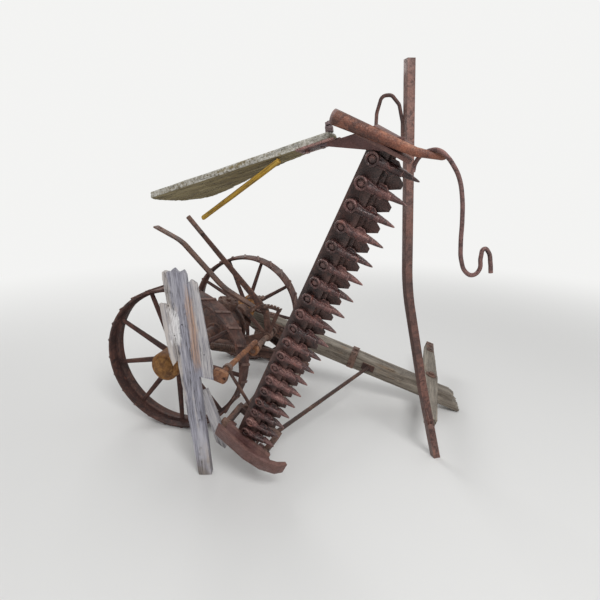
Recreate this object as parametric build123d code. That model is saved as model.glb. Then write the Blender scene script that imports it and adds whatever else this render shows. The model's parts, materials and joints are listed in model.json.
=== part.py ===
from build123d import *
import os
from math import atan2, cos, degrees, radians, sin

# Two-wheeled sickle bar mower for a team of horses, left standing with its cutter bar raised.
# Millimetres. +X is forward, +Y is the left side, +Z is up, and z = 0 is the ground.
# The tongue is broken off short and its end lies on the ground, so the whole frame dips forward.
# Each piece is drawn in one of three places: on the ground, in the frame's own level axes with the
# axle's centre as origin, or in the cutter bar's axes with the bar's hinge as origin.

# Stance
FRAME_DIP = 18.0
BAR_TILT = 10.6
BAR_SKEW = -8.4
BAR_RAISE = 72.8
CENTRE_X = 575.1
CENTRE_Y = -362.66

# Fits
AXLE_PLAY = 0.05
SEAT = 0.3
FACE_PLAY = 2.0

# Drive wheels
TRACK = 1070.0
TREAD_R = 410.0
LUG_HEIGHT = 7.0
LUG_THICK = 14.0
LUG_COUNT = 24
LUG_SLANT = 22.0
LUG_ROOT = 3.0
RIM_WIDTH = 125.0
RIM_THICK = 10.0
RIB_WIDTH = 16.0
RIB_DEPTH = 14.0
SPOKE_COUNT = 9
SPOKE_ROOT_R = 17.0
SPOKE_TIP_R = 12.0
HUB_R = 58.0
HUB_INNER = 70.0
DRUM_R = 80.0
DRUM_START = 50.0
DRUM_END = 150.0
DRUM_EDGE = 12.0
CAP_R = 56.0
CAP_RISE = 18.0
WHEEL_TIP_R = TREAD_R + LUG_HEIGHT

# Axle, gear case and frame
AXLE_R = 22.5
AXLE_TUBE_R = 40.0
AXLE_TUBE_FLANGE_R = 58.0
MID_Y = 60.0
CASE_R = 160.0
CASE_HALF_WIDTH = 75.0
CASE_NECK = 110.0
CASE_FLANGE = 16.0
CASE_FLANGE_WIDTH = 18.0
CASE_NOSE_R = 62.0
CASE_NOSE_X = 190.0
LID_R = 70.0
LID_THICK = 12.0
CRANK_TUBE_R = 44.0
HEAD_BACK = 440.0
HEAD_FRONT = 560.0
HEAD_HALF_WIDTH = 65.0
HEAD_BOTTOM = -118.0
TONGUE_SEAT_Z = 100.0
CRANK_Z = -60.0
SADDLE_X = 250.0
SADDLE_LENGTH = 70.0
SADDLE_HALF_WIDTH = 52.0
ARM_RING_R = 60.0
ARM_RING_WIDTH = 64.0
ARM_RIGHT_Y = -250.0
ARM_LEFT_INSET = 79.0
ARM_DEPTH = 60.0
ARM_FLANGE = 10.0
ARM_WEB = 14.0
ARM_ROOT_WIDTH = 62.0
ARM_TIP_WIDTH = 56.0
ARM_TIP_X = 474.0

# Crankshaft, flywheel and pitman
SHAFT_R = 18.0
SHAFT_END = 612.0
FLYWHEEL_BACK = 570.0
FLYWHEEL_WIDTH = 28.0
FLYWHEEL_R = 150.0
FLYWHEEL_RIM = 22.0
FLYWHEEL_WEB = 12.0
FLYWHEEL_HOLES = 5
STROKE = 76.2
CRANK_PIN_R = 12.0
CRANK_PIN_LENGTH = 66.0
PITMAN_WIDTH = 52.0
PITMAN_THICK = 32.0
STRAP_LENGTH = 230.0
STRAP_THICK = 6.0
STRAP_WIDTH = 38.0

# Cutter bar hinge, from the axle's centre in the frame's level axes
HINGE_X = 587.0
HINGE_Y = -893.0
HINGE_Z = -33.0
HINGE_PIN_R = 12.0
HINGE_PLAY = 0.08
EYE_R = 25.0
EYE_LENGTH = 26.0
YOKE_REACH = 128.0
YOKE_BACK = 62.0
YOKE_RISE = 48.0
YOKE_BAR = 30.0
DRAG_BAR_R = 19.0
DRAG_BAR_SHIFT = -84.0
DRAG_BAR_BOSS = 36.0

# Draft rod, lift, levers and seat spring, in the frame's level axes
DRAFT_ROD_R = 11.0
DRAFT_X = 1030.0
DRAFT_Z = 150.0
LIFT_X = 380.0
LIFT_Z = 158.0
LIFT_SHAFT_R = 16.0
LIFT_SHAFT_INSET = 49.0
LIFT_ARM_R = 14.0
LIFT_ARM_X = 388.0
LIFT_ARM_Z = 238.0
LIFT_ARM_END = -905.0
LIFT_EYE_THICK = 24.0
LIFT_EYE_WIDTH = 76.0
LIFT_EYE_HEIGHT = 58.0
LIFT_EYE_HOLE_R = 8.0
LIFT_LINK_R = 8.0
LIFT_LINK_SHIFT = -38.0
LEVER_THICK = 13.0
HAND_LEVER_Y = -146.0
HAND_LEVER = [(380.0, 158.0), (322.0, 306.0), (-215.0, 628.0)]
GRIP_LENGTH = 130.0
GRIP_R = 15.0
FOOT_LEVER_Y = -60.0
FOOT_LEVER = [(380.0, 158.0), (318.0, 236.0), (212.0, 330.0)]
PEDAL_LENGTH = 104.0
PEDAL_WIDTH = 62.0
QUADRANT_Y = -148.0
QUADRANT_THICK = 13.0
QUADRANT_R = 196.0
QUADRANT_FROM = 84.0
QUADRANT_TO = 150.0
QUADRANT_STEP = 6.0
SPRING_INSET = 109.0
BALANCE_R = 25.0
BALANCE_LENGTH = 180.0
BALANCE_TURNS = 14
SEAT_SPRING_X = 345.0
SEAT_SPRING_WIDTH = 60.0
SEAT_SPRING_THICK = 12.0
SEAT_SPRING_RUN = [(-60.0, 270.0), (-430.0, 470.0), (-640.0, 500.0)]
SEAT_SPRING_BENDS = [120.0, 400.0, 260.0]
SEAT_HOLE_INSET = 40.0
SEAT_HOLE_R = 8.5

# Cutter bar and guards, in the bar's own axes: x forward, -y outward, z the side that faces up when cutting
PITCH = 76.2
GUARD_COUNT = 19
GUARD_FIRST = 19.2
BAR_END = (GUARD_FIRST + 0.5) * PITCH
BAR_START = 30.0
BAR_FRONT = 30.0
BAR_BACK_OUTER = -32.0
BAR_BACK_INNER = -44.0
BAR_THICK = 13.0
BAR_DROP = 8.0
GUARD_FOOT = 12.0
FINGER_START = (10.0, -23.0)
FINGER_TIP = (143.0, -6.0)
LIP_START = (78.0, 1.8)
LIP_END = (139.0, -3.5)
LEDGER_BACK = 54.0
LEDGER_FRONT = 112.0
BOLT_R = 8.0
EYE_BOSS_R = 20.5
EYE_RECESS_R = 14.5
EYE_RISE = 5.0
EYE_RECESS = 6.5
NUT_R = 12.0
NUT_THICK = 9.0

# Knife
KNIFE_SHIFT = 38.1
KNIFE_X = 43.0
KNIFE_BACK_WIDTH = 18.0
KNIFE_BACK_THICK = 6.5
SECTION_THICK = 3.0
SECTION_LENGTH = 70.0
SECTION_BASE = 22.0
SECTION_TIP_WIDTH = 16.0
BALL_R = 15.7
CLIP_COUNT = 5
CLIP_WIDTH = 24.0
CLIP_THICK = 7.0

# Inner shoe
SHOE_BACK = -120.0
SHOE_BED = 16.0
SHOE_BED_OUT = -51.0
SHOE_BED_IN = -18.0

# Outer shoe, swath board and stick
FLANGE_THICK = 12.0
# the sole's middle line, from heel to nose: x, distance out from the bar's end, z, radius
SOLE_RUN = [(-152.0, 13.0, -44.0, 22.0), (100.0, 36.0, -42.0, 12.5), (178.0, 57.0, -30.0, 8.0)]
SOLE_DISH_R = 17.5
BOARD_THICK = 24.0
BOARD_ANGLE = 42.0
BOARD_LEAN = 20.0
BOARD_START = (-154.6, 30.4 - BAR_END, -25.0)
# distance along the board, width there
BOARD_WIDTHS = [(0.0, 44.0), (295.0, 92.0), (422.0, 132.0), (590.0, 182.0), (680.0, 194.0), (740.0, 186.0),
                (796.0, 150.0), (832.0, 95.0), (846.0, 45.0), (842.0, 14.0), (828.0, 0.0)]
BRACKET_LENGTH = 120.0
BRACKET_WIDTH = 40.0
BRACKET_THICK = 8.0
SPRING_BOLT_X = 14.0
SPRING_BOLT_R = 5.0
SPRING_R = 12.5
SPRING_LENGTH = 22.0
SPRING_TURNS = 4
STICK_R = 9.5
STICK_X = 196.0
STICK_START_Z = -12.0
STICK_END = (660.0, 124.0, -106.0)
HOOK_ROD_R = 6.0
HOOK_ROD_DROP = -2.8

# Tongue, evener and stay
TONGUE_WIDTH = 95.0
TONGUE_DEPTH = 108.0
TONGUE_TIP_DEPTH = 92.0
TONGUE_BACK = 205.0
TONGUE_STRAIGHT = 500.0
TONGUE_BREAK = 110.0
TONGUE_STRAPS = (480.0, 920.0)
EVENER_X = 1410.0
EVENER_LENGTH = 1098.0
EVENER_WIDTH = 92.0
EVENER_TIP_WIDTH = 60.0
EVENER_THICK = 46.0
STAY_LEG = 36.0
STAY_THICK = 7.0
STAY_TURN = 31.0
STAY_FOOT_X = 1445.0
STAY_TOP_Y = -582.0
STAY_BOLT_R = 8.0
ARCH_ROD_R = 8.0
STAY_RUN = [(STAY_FOOT_X, -20.0), (1345.0, 400.0), (1242.0, 900.0), (1222.0, 1400.0), (1196.0, 1886.0)]
# distance to the left of the rod's straight run, height
ARCH_ROD = [(117, 1600), (111, 1680), (88, 1750), (46, 1752), (14, 1712), (0, 1640), (0, 1523)]
EVENER_HOLE_R = 10.0

# Timber leaning beside the machine
TIMBER_FOOT = (354.0, -951.0)
TIMBER_TOP = (271.0, -974.0)
TIMBER_HEIGHT = 1031.0
TIMBER_THICK = 40.0
TIMBER_SIDE_THICK = 22.0
# the main board's right edge, as (distance to the right, distance along)
TIMBER_EDGE = [(36.0, 300.0), (52.0, 1000.0)]
VIEW_TURN = 15.0

# The three sets of axes
GROUND = Pos(-CENTRE_X, -CENTRE_Y, 0)
FRAME = GROUND * Pos(0, 0, WHEEL_TIP_R) * Rot(0, FRAME_DIP, 0)
HINGE_IN_FRAME = Pos(HINGE_X, HINGE_Y, HINGE_Z) * Rot(0, BAR_TILT, 0) * Rot(0, 0, BAR_SKEW)
HINGE = FRAME * HINGE_IN_FRAME
BAR = HINGE * Rot(-BAR_RAISE, 0, 0)

ALONG_X = Rot(0, 90, 0)
ALONG_Y = Rot(-90, 0, 0)
BASE = (Align.CENTER, Align.CENTER, Align.MIN)


def box(x0, x1, y0, y1, z0, z1):
    """A block between two corners."""
    return Pos(x0, y0, z0) * Box(x1 - x0, y1 - y0, z1 - z0, align=(Align.MIN, Align.MIN, Align.MIN))


def rod(start, end, radius):
    """A round rod from one point to another."""
    start = Vector(start)
    line = Vector(end) - start
    return Plane(origin=start, z_dir=line) * Cylinder(radius, line.length, align=BASE)


def tube(start, end, radius, bore):
    """A rod with a hole along it."""
    return rod(start, end, radius) - rod(start, end, bore)


def flat(start, end, across, width, thick):
    """A flat bar from one point to another, its width square to the line, as near as can be to `across`."""
    line = Vector(*end) - Vector(*start)
    unit = line.normalized()
    side = Vector(*across)
    side = side - unit * side.dot(unit)
    return Plane(origin=start, x_dir=side, z_dir=line) * Box(width, thick, line.length, align=BASE)


def outline_y(points, y0, y1):
    """A plate with its outline in x and z, from y0 to y1."""
    face = make_face(Polyline(*points, close=True))
    return Pos(0, y1, 0) * (Rot(90, 0, 0) * extrude(face, y1 - y0))


def outline_z(points, z0, z1):
    """A plate with its outline in x and y, from z0 to z1."""
    return Pos(0, 0, z0) * extrude(make_face(Polyline(*points, close=True)), z1 - z0)


def turned_y(points):
    """A body turned about the Y axis, from (y, radius) points."""
    profile = make_face(Polyline(*[(radius, y) for y, radius in points], close=True))
    return revolve(profile, Axis.Y)


def hexagon(radius, thick):
    """A nut or bolt head standing on z = 0."""
    return extrude(RegularPolygon(radius, 6), thick)


def bent_rod(points, radii, radius):
    """A round rod along straight runs joined by arcs."""
    path = FilletPolyline(*points, radius=radii)
    return sweep(Plane(origin=path @ 0, z_dir=path % 0) * Circle(radius), path=path)


# Wheels

def wheel_hub():
    """Hub with the ratchet drum on its outer side. The wheel's centre plane is y = 0 and outward is +y."""
    bore = AXLE_R + AXLE_PLAY
    return turned_y([
        (-HUB_INNER, bore), (-HUB_INNER, HUB_R - 10), (-HUB_INNER + 12, HUB_R), (DRUM_START - 14, HUB_R),
        (DRUM_START, DRUM_R), (DRUM_END - DRUM_EDGE, DRUM_R), (DRUM_END, DRUM_R - DRUM_EDGE),
        (DRUM_END, bore),
    ])


def wheel(side):
    """Cast wheel with slanted lugs across the tread. side is -1 for the right wheel and +1 for the left."""
    rim_in = TREAD_R - RIM_THICK
    rim = Cylinder(TREAD_R, RIM_WIDTH) - Cylinder(rim_in, RIM_WIDTH)
    rib = Cylinder(rim_in + 1, RIB_WIDTH) - Cylinder(rim_in - RIB_DEPTH, RIB_WIDTH)
    lug = Pos(0, 0, TREAD_R - LUG_ROOT) * Rot(0, 0, LUG_SLANT) * Box(
        LUG_THICK, RIM_WIDTH, LUG_HEIGHT + LUG_ROOT, align=BASE)
    lugs = [Rot(0, 360 * n / LUG_COUNT, 0) * lug for n in range(LUG_COUNT)]
    spoke_end = rim_in - RIB_DEPTH + 4
    spoke = Pos(0, 0, HUB_R - 4) * Cone(SPOKE_ROOT_R, SPOKE_TIP_R, spoke_end - HUB_R + 4, align=BASE)
    spokes = [Rot(0, 360 * (n + 0.5) / SPOKE_COUNT, 0) * spoke for n in range(SPOKE_COUNT)]
    whole = ALONG_Y * (rim + rib) + lugs + spokes + wheel_hub()
    return Pos(0, side * TRACK / 2, WHEEL_TIP_R) * (whole if side > 0 else mirror(whole, Plane.XZ))


def hub_cap(side):
    """Domed cap over the axle's end, on the ratchet drum."""
    cap = turned_y([(DRUM_END + SEAT, 0), (DRUM_END + SEAT, CAP_R), (DRUM_END + 6, CAP_R),
                    (DRUM_END + CAP_RISE, CAP_R - 22), (DRUM_END + CAP_RISE, 0)])
    bolts = [Rot(0, 90 * n + 45, 0) * Pos(CAP_R - 10, DRUM_END + 6, 0) * ALONG_Y * hexagon(7, 6)
             for n in range(4)]
    cap = cap + bolts
    return Pos(0, side * TRACK / 2, WHEEL_TIP_R) * (cap if side > 0 else mirror(cap, Plane.XZ))


# Axle, gear case and frame

def axle():
    """The live axle, from ratchet drum to ratchet drum."""
    reach = TRACK / 2 + DRUM_END - 8
    return rod((0, -reach, 0), (0, reach, 0), AXLE_R)


def gear_case():
    """Turned gear case round the axle, with a nose for the crank tube and a seat for its lid."""
    shell = turned_y([
        (-CASE_NECK, AXLE_TUBE_FLANGE_R), (-CASE_NECK + 14, AXLE_TUBE_FLANGE_R),
        (-CASE_HALF_WIDTH, CASE_R - 40),
        (-CASE_HALF_WIDTH + 30, CASE_R), (CASE_HALF_WIDTH - 30, CASE_R), (CASE_HALF_WIDTH, CASE_R - 40),
        (CASE_NECK - 14, AXLE_TUBE_FLANGE_R), (CASE_NECK, AXLE_TUBE_FLANGE_R), (CASE_NECK, 0),
        (-CASE_NECK, 0)])
    split = ALONG_Y * Cylinder(CASE_R + CASE_FLANGE, CASE_FLANGE_WIDTH)
    nose = rod((CASE_R - 80, 0, CRANK_Z), (CASE_NOSE_X, 0, CRANK_Z), CASE_NOSE_R)
    lid_seat = rod((0, 0, CASE_R - 30), (0, 0, CASE_R + 24), LID_R)
    whole = shell + split + nose + lid_seat - rod((0, -CASE_NECK, 0), (0, CASE_NECK, 0), AXLE_R + SEAT)
    return Pos(0, MID_Y, 0) * whole


def gear_case_lid():
    """Round lid on top of the case, with a raised knob and bolts."""
    base = CASE_R + 24
    lid = rod((0, 0, base), (0, 0, base + LID_THICK), LID_R) + rod((0, 0, base), (0, 0, base + 26), 16)
    bolts = [Rot(0, 0, 60 * n) * Pos(LID_R - 12, 0, base + LID_THICK) * hexagon(8, 7) for n in range(6)]
    return Pos(0, MID_Y, 0) * (lid + bolts)


def tube_end():
    """How far each axle tube reaches from the middle."""
    return TRACK / 2 - HUB_INNER - FACE_PLAY


def axle_tubes():
    """Housing tubes between the gear case and the two hubs."""
    tubes = []
    end = tube_end()
    for start, stop in ((MID_Y - CASE_NECK, -end), (MID_Y + CASE_NECK, end)):
        step = 16 if stop > start else -16
        piece = rod((0, start, 0), (0, stop, 0), AXLE_TUBE_R)
        piece += rod((0, start, 0), (0, start + step, 0), AXLE_TUBE_FLANGE_R)
        piece += rod((0, stop - step, 0), (0, stop, 0), AXLE_TUBE_R + 10)
        piece -= rod((0, start, 0), (0, stop, 0), AXLE_R + SEAT)
        tubes.append(piece)
    return Compound(children=tubes)


def frame_arm(ring_y, side):
    """One arm of the frame, an I section from its ring on the axle tube to the crank case head."""
    tip_y = MID_Y + side * HEAD_HALF_WIDTH
    ring = rod((0, ring_y - ARM_RING_WIDTH / 2, 0), (0, ring_y + ARM_RING_WIDTH / 2, 0), ARM_RING_R)

    def plan(root, tip):
        half_tip = side * tip / 2
        return [(30, ring_y - root / 2), (30, ring_y + root / 2), (ARM_TIP_X + half_tip, tip_y),
                (ARM_TIP_X - half_tip, tip_y)]

    half = ARM_DEPTH / 2
    flanges = outline_z(plan(ARM_ROOT_WIDTH, ARM_TIP_WIDTH), half - ARM_FLANGE, half)
    flanges += outline_z(plan(ARM_ROOT_WIDTH, ARM_TIP_WIDTH), -half, ARM_FLANGE - half)
    web = outline_z(plan(ARM_WEB, ARM_WEB), -half, half)
    foot = box(ARM_TIP_X - ARM_TIP_WIDTH / 2, ARM_TIP_X + ARM_TIP_WIDTH / 2,
               *sorted((tip_y, tip_y + side * 12)), -half, half)
    whole = ring + flanges + web + foot
    return whole - rod((0, ring_y - ARM_RING_WIDTH, 0), (0, ring_y + ARM_RING_WIDTH, 0), AXLE_TUBE_R + SEAT)


def crank_case():
    """Tube round the crankshaft, with a flange at the gear case, a tongue saddle and the front head."""
    whole = rod((CASE_NOSE_X, 0, CRANK_Z), (HEAD_FRONT, 0, CRANK_Z), CRANK_TUBE_R)
    whole += rod((CASE_NOSE_X, 0, CRANK_Z), (CASE_NOSE_X + 16, 0, CRANK_Z), CASE_NOSE_R)
    whole += box(SADDLE_X, SADDLE_X + SADDLE_LENGTH, -SADDLE_HALF_WIDTH, SADDLE_HALF_WIDTH, CRANK_Z + 20,
                 TONGUE_SEAT_Z)
    whole += box(HEAD_BACK, HEAD_FRONT, -HEAD_HALF_WIDTH, HEAD_HALF_WIDTH, HEAD_BOTTOM, TONGUE_SEAT_Z)
    whole = Pos(0, MID_Y, 0) * whole
    root = drag_bar_root()
    x, z = root.X, root.Z
    side = MID_Y - HEAD_HALF_WIDTH
    whole += rod((x, side, z), (x, side - 50, z), DRAG_BAR_R + 9)
    whole -= rod((x, side - 50, z), (x, side - 20, z), DRAG_BAR_R + SEAT)
    return whole - rod((HEAD_FRONT - 20, MID_Y, CRANK_Z), (HEAD_FRONT, MID_Y, CRANK_Z), SHAFT_R + SEAT)


# Crank drive

def crankshaft():
    """The shaft's front end with its nut, and the crank pin."""
    front = FLYWHEEL_BACK + FLYWHEEL_WIDTH
    shaft = rod((HEAD_FRONT - 20, 0, 0), (SHAFT_END - 8, 0, 0), SHAFT_R)
    pin = rod((front + 6, 0, STROKE / 2), (front + CRANK_PIN_LENGTH, 0, STROKE / 2), CRANK_PIN_R)
    return Pos(0, MID_Y, CRANK_Z) * Compound(children=[shaft, pin])


def flywheel():
    """Heavy flywheel: rim, pierced web, hub, and a boss that carries the crank pin."""
    mid = FLYWHEEL_BACK + FLYWHEEL_WIDTH / 2
    front = FLYWHEEL_BACK + FLYWHEEL_WIDTH
    rim = tube((FLYWHEEL_BACK, 0, 0), (front, 0, 0), FLYWHEEL_R, FLYWHEEL_R - FLYWHEEL_RIM)
    web = rod((mid - FLYWHEEL_WEB / 2, 0, 0), (mid + FLYWHEEL_WEB / 2, 0, 0), FLYWHEEL_R - FLYWHEEL_RIM / 2)
    hole = rod((FLYWHEEL_BACK, 0, 100), (front, 0, 100), 24)
    holes = [Rot(360 * (n + 0.5) / FLYWHEEL_HOLES, 0, 0) * hole for n in range(FLYWHEEL_HOLES)]
    hub = rod((FLYWHEEL_BACK - 8, 0, 0), (front + 6, 0, 0), 34)
    boss = rod((mid, 0, STROKE / 2), (front + 6, 0, STROKE / 2), 24)
    whole = rim + (web - holes) + hub + boss
    whole -= rod((FLYWHEEL_BACK - 20, 0, 0), (front + 20, 0, 0), SHAFT_R + SEAT)
    return Pos(0, MID_Y, CRANK_Z) * whole


def crank_point():
    """Middle of the pitman's bearing on the crank pin."""
    return Vector(ball_point().X, MID_Y, CRANK_Z + STROKE / 2)


def ball_point():
    """Knife ball, which lies on the hinge's own axis so that the bar folds about it."""
    return (HINGE_IN_FRAME * Pos(KNIFE_X, 0, 0)).position


def pitman_axes():
    """Axes along the pitman: origin at the crank pin, z towards the knife."""
    line = ball_point() - crank_point()
    return Plane(origin=crank_point(), x_dir=(1, 0, 0), z_dir=line), line.length


def pitman():
    """Wooden pitman, deepest in its middle."""
    place, length = pitman_axes()
    start, end = 42.0, length - 62.0
    half = PITMAN_WIDTH / 2
    edge = [(start, half - 8), (0.4 * length, half), (0.6 * length, half), (end, half - 10)]
    side = [(z, -w) for z, w in edge] + edge[::-1]
    face = Plane.YZ.offset(-PITMAN_THICK / 2) * make_face(Polyline(*[(w, z) for z, w in side], close=True))
    return place * extrude(face, PITMAN_THICK)


def pitman_irons():
    """Iron box on the crank pin, socket at the knife ball, and the straps that hold the wood."""
    place, length = pitman_axes()
    half = PITMAN_THICK / 2
    pieces = []
    box_end = Box(PITMAN_THICK + 2 * STRAP_THICK, 60, 72) - ALONG_X * Cylinder(CRANK_PIN_R + SEAT, 80)
    big = box_end
    for side in (-1, 1):
        x = side * (half + STRAP_THICK / 2 + SEAT / 2)
        big += Pos(x, 0, 30) * Box(STRAP_THICK - SEAT, STRAP_WIDTH, STRAP_LENGTH, align=BASE)
    pieces.append(big)
    small = Pos(0, 0, length - 60) * Box(PITMAN_THICK + 2 * STRAP_THICK, STRAP_WIDTH, 16, align=BASE)
    for side in (-1, 1):
        x = side * (half + STRAP_THICK / 2 + SEAT / 2)
        strap = Box(STRAP_THICK - SEAT, STRAP_WIDTH, STRAP_LENGTH + 74, align=BASE)
        small += Pos(x, 0, length - 60 - STRAP_LENGTH) * strap
    pieces.append(small)
    return place * Compound(children=pieces)


# Cutter bar hinge

def hinge_yoke():
    """Yoke that carries the cutter bar: two eyes on the hinge line, and an arch over the pitman's end."""
    inner = YOKE_REACH - EYE_LENGTH
    whole = box(-YOKE_REACH, YOKE_REACH, YOKE_BACK, YOKE_BACK + YOKE_BAR, YOKE_RISE, YOKE_RISE + YOKE_BAR)
    for side in (-1, 1):
        x0, x1 = sorted((side * inner, side * YOKE_REACH))
        arm = [(0, -EYE_R), (0, EYE_R), (YOKE_BACK, YOKE_RISE + YOKE_BAR),
               (YOKE_BACK + YOKE_BAR, YOKE_RISE + YOKE_BAR),
               (YOKE_BACK + YOKE_BAR, YOKE_RISE - 10), (EYE_R, -EYE_R + 6)]
        face = Plane.YZ.offset(x0) * make_face(Polyline(*arm, close=True))
        whole += extrude(face, x1 - x0) + rod((x0, 0, 0), (x1, 0, 0), EYE_R)
    whole -= rod((-2 * YOKE_REACH, 0, 0), (2 * YOKE_REACH, 0, 0), HINGE_PIN_R + HINGE_PLAY)
    root = drag_bar_root()
    boss = rod(root - Vector(0, 10, 0), root + Vector(0, DRAG_BAR_BOSS, 0), DRAG_BAR_R + 9)
    return whole + HINGE_IN_FRAME.inverse() * boss


def hinge_pins():
    """The two pins, headed at their outer ends."""
    pins = []
    for side in (-1, 1):
        start, end = side * (YOKE_REACH - 2 * EYE_LENGTH - 8), side * (YOKE_REACH + 14)
        head = Pos(side * (YOKE_REACH + 1), 0, 0) * Rot(0, side * 90, 0) * hexagon(18, 10)
        pins.append(rod((start, 0, 0), (end, 0, 0), HINGE_PIN_R) + head)
    return Compound(children=pins)


def drag_bar_root():
    """Middle of the drag bar's foot on the yoke, in the frame's level axes."""
    return (HINGE_IN_FRAME * Pos(DRAG_BAR_SHIFT, YOKE_BACK + YOKE_BAR, YOKE_RISE + YOKE_BAR / 2)).position


def drag_bar():
    """Bar from the frame's head to the yoke, ahead of the right wheel."""
    root = drag_bar_root()
    start = MID_Y - HEAD_HALF_WIDTH - 20
    return rod((root.X, start, root.Z), (root.X, root.Y + DRAG_BAR_BOSS + SEAT, root.Z), DRAG_BAR_R)


def draft_rod():
    """Rod from the yoke forward to the tongue's side, with a flat foot at each end."""
    x, y, z = YOKE_REACH - 27, YOKE_BACK + YOKE_BAR + SEAT, YOKE_RISE + YOKE_BAR / 2
    back = (HINGE_IN_FRAME * Pos(x, y + 5, z)).position
    side = MID_Y - TONGUE_WIDTH / 2 - SEAT
    whole = rod(back, (DRAFT_X, side - 5, DRAFT_Z), DRAFT_ROD_R)
    whole += HINGE_IN_FRAME * box(x - 26, x + 26, y, y + 9, z - 13, z + 13)
    whole += box(DRAFT_X - 40, DRAFT_X + 40, side - 9, side, DRAFT_Z - 20, DRAFT_Z + 20)
    return whole


# Lift, levers and seat spring

def lift_shaft():
    """Rock shaft across the frame, turned by the hand lever and the foot lever."""
    return rod((LIFT_X, MID_Y - TONGUE_WIDTH / 2 - SEAT, LIFT_Z),
               (LIFT_X, LIFT_SHAFT_INSET - tube_end(), LIFT_Z), LIFT_SHAFT_R)


def bearing(y0, y1, radius):
    """Ring round the lift shaft."""
    return tube((LIFT_X, y0, LIFT_Z), (LIFT_X, y1, LIFT_Z), radius, LIFT_SHAFT_R + SEAT)


def shaft_bore():
    """Hole for the lift shaft in what it passes through."""
    return rod((LIFT_X, -1000, LIFT_Z), (LIFT_X, 500, LIFT_Z), LIFT_SHAFT_R + SEAT)


def tongue_bearing():
    """Plate on the tongue's side with a bearing for the lift shaft."""
    side = MID_Y - TONGUE_WIDTH / 2 - SEAT
    plate = box(LIFT_X - 60, LIFT_X + 60, side - 10, side, TONGUE_SEAT_Z + 6, LIFT_Z + 34)
    plate += [Pos(LIFT_X + x, side - 10, LIFT_Z + 16) * Rot(90, 0, 0) * hexagon(10, 8) for x in (-44, 44)]
    return plate + bearing(side - 30, side, 27) - shaft_bore()


def quadrant():
    """Plate standing on the right frame arm: bearing for the lift shaft, and a notched quadrant above it."""
    y0, y1 = QUADRANT_Y - QUADRANT_THICK, QUADRANT_Y
    foot = ARM_DEPTH / 2
    plate = outline_y([(150, foot), (262, foot), (LIFT_X + 22, LIFT_Z - 18), (LIFT_X - 24, LIFT_Z + 24)],
                      y0, y1)
    for angle in (QUADRANT_FROM, QUADRANT_TO):
        turn = radians(angle)
        end = (LIFT_X + QUADRANT_R * cos(turn), (y0 + y1) / 2, LIFT_Z + QUADRANT_R * sin(turn))
        plate += flat((LIFT_X, (y0 + y1) / 2, LIFT_Z), end, (0, 1, 0), QUADRANT_THICK, 22)
    ring = tube((LIFT_X, y0, LIFT_Z), (LIFT_X, y1, LIFT_Z), QUADRANT_R + 14, QUADRANT_R - 12)
    reach = 2 * QUADRANT_R
    points = [(LIFT_X, LIFT_Z)]
    for angle in (QUADRANT_FROM - 4, (QUADRANT_FROM + QUADRANT_TO) / 2, QUADRANT_TO + 4):
        points.append((LIFT_X + reach * cos(radians(angle)), LIFT_Z + reach * sin(radians(angle))))
    sector = ring & outline_y(points, y0, y1)
    notch = Pos(QUADRANT_R + 12, 0, 0) * Box(12, 4 * QUADRANT_THICK, 7)
    teeth = int((QUADRANT_TO - QUADRANT_FROM) / QUADRANT_STEP) + 1
    angles = [QUADRANT_FROM + n * QUADRANT_STEP for n in range(teeth)]
    notches = [Pos(LIFT_X, QUADRANT_Y, LIFT_Z) * Rot(0, -angle, 0) * notch for angle in angles]
    return plate + (sector - notches) + bearing(y0 - 8, y1, 28) - shaft_bore()


def lever(points, widths, y, thick):
    """A flat lever in a plane across Y, from its centre line and its widths."""
    left, right = [], []
    for n, (x, z) in enumerate(points):
        before = points[max(n - 1, 0)]
        after = points[min(n + 1, len(points) - 1)]
        turn = atan2(after[1] - before[1], after[0] - before[0])
        dx, dz = -sin(turn) * widths[n] / 2, cos(turn) * widths[n] / 2
        left.append((x + dx, z + dz))
        right.append((x - dx, z - dz))
    return outline_y(left + right[::-1], y, y + thick)


def hand_lever():
    """Long hand lever from the lift shaft back towards the seat, with a round grip."""
    y = HAND_LEVER_Y
    blade = lever(HAND_LEVER, (40, 40, 26), y, LEVER_THICK)
    (x0, z0), (x1, z1) = HAND_LEVER[-2:]
    run = Vector(x1 - x0, 0, z1 - z0).normalized()
    mid = y + LEVER_THICK / 2
    grip = rod((x1 - 8 * run.X, mid, z1 - 8 * run.Z),
               (x1 + GRIP_LENGTH * run.X, mid, z1 + GRIP_LENGTH * run.Z), GRIP_R)
    return blade + grip + bearing(y, y + LEVER_THICK + 14, 30) - shaft_bore()


def foot_lever():
    """Foot lever on the lift shaft, with a ribbed pedal."""
    y = FOOT_LEVER_Y
    blade = lever(FOOT_LEVER, (34, 30, 26), y, LEVER_THICK)
    x, z = FOOT_LEVER[-1]
    pedal = Box(PEDAL_LENGTH, PEDAL_WIDTH, 9)
    pedal += [Pos(dx, 0, 6.5) * Box(8, PEDAL_WIDTH, 4) for dx in (-36, -12, 12, 36)]
    pedal = Pos(x, y + LEVER_THICK / 2, z + 4) * Rot(0, -20, 0) * pedal
    return blade + pedal + bearing(y - 10, y + LEVER_THICK + 4, 28) - shaft_bore()


def lift_arm():
    """Crank on the lift shaft whose arm reaches out over the wheel's front to an eye above the inner shoe."""
    y = LIFT_SHAFT_INSET - tube_end() + 2
    boss = bearing(y, y + 30, 30)
    path = [(LIFT_X, y + 15, LIFT_Z), (LIFT_ARM_X, y - 26, LIFT_ARM_Z),
            (LIFT_ARM_X, LIFT_ARM_END, LIFT_ARM_Z)]
    arm = bent_rod(path, 40, LIFT_ARM_R)
    x = LIFT_ARM_X + LIFT_EYE_WIDTH / 2 - 12
    eye = lift_eye(0) - rod((x, LIFT_ARM_END - 60, LIFT_ARM_Z), (x, LIFT_ARM_END + 30, LIFT_ARM_Z),
                            LIFT_EYE_HOLE_R)
    return boss + arm + eye - shaft_bore()


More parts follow.
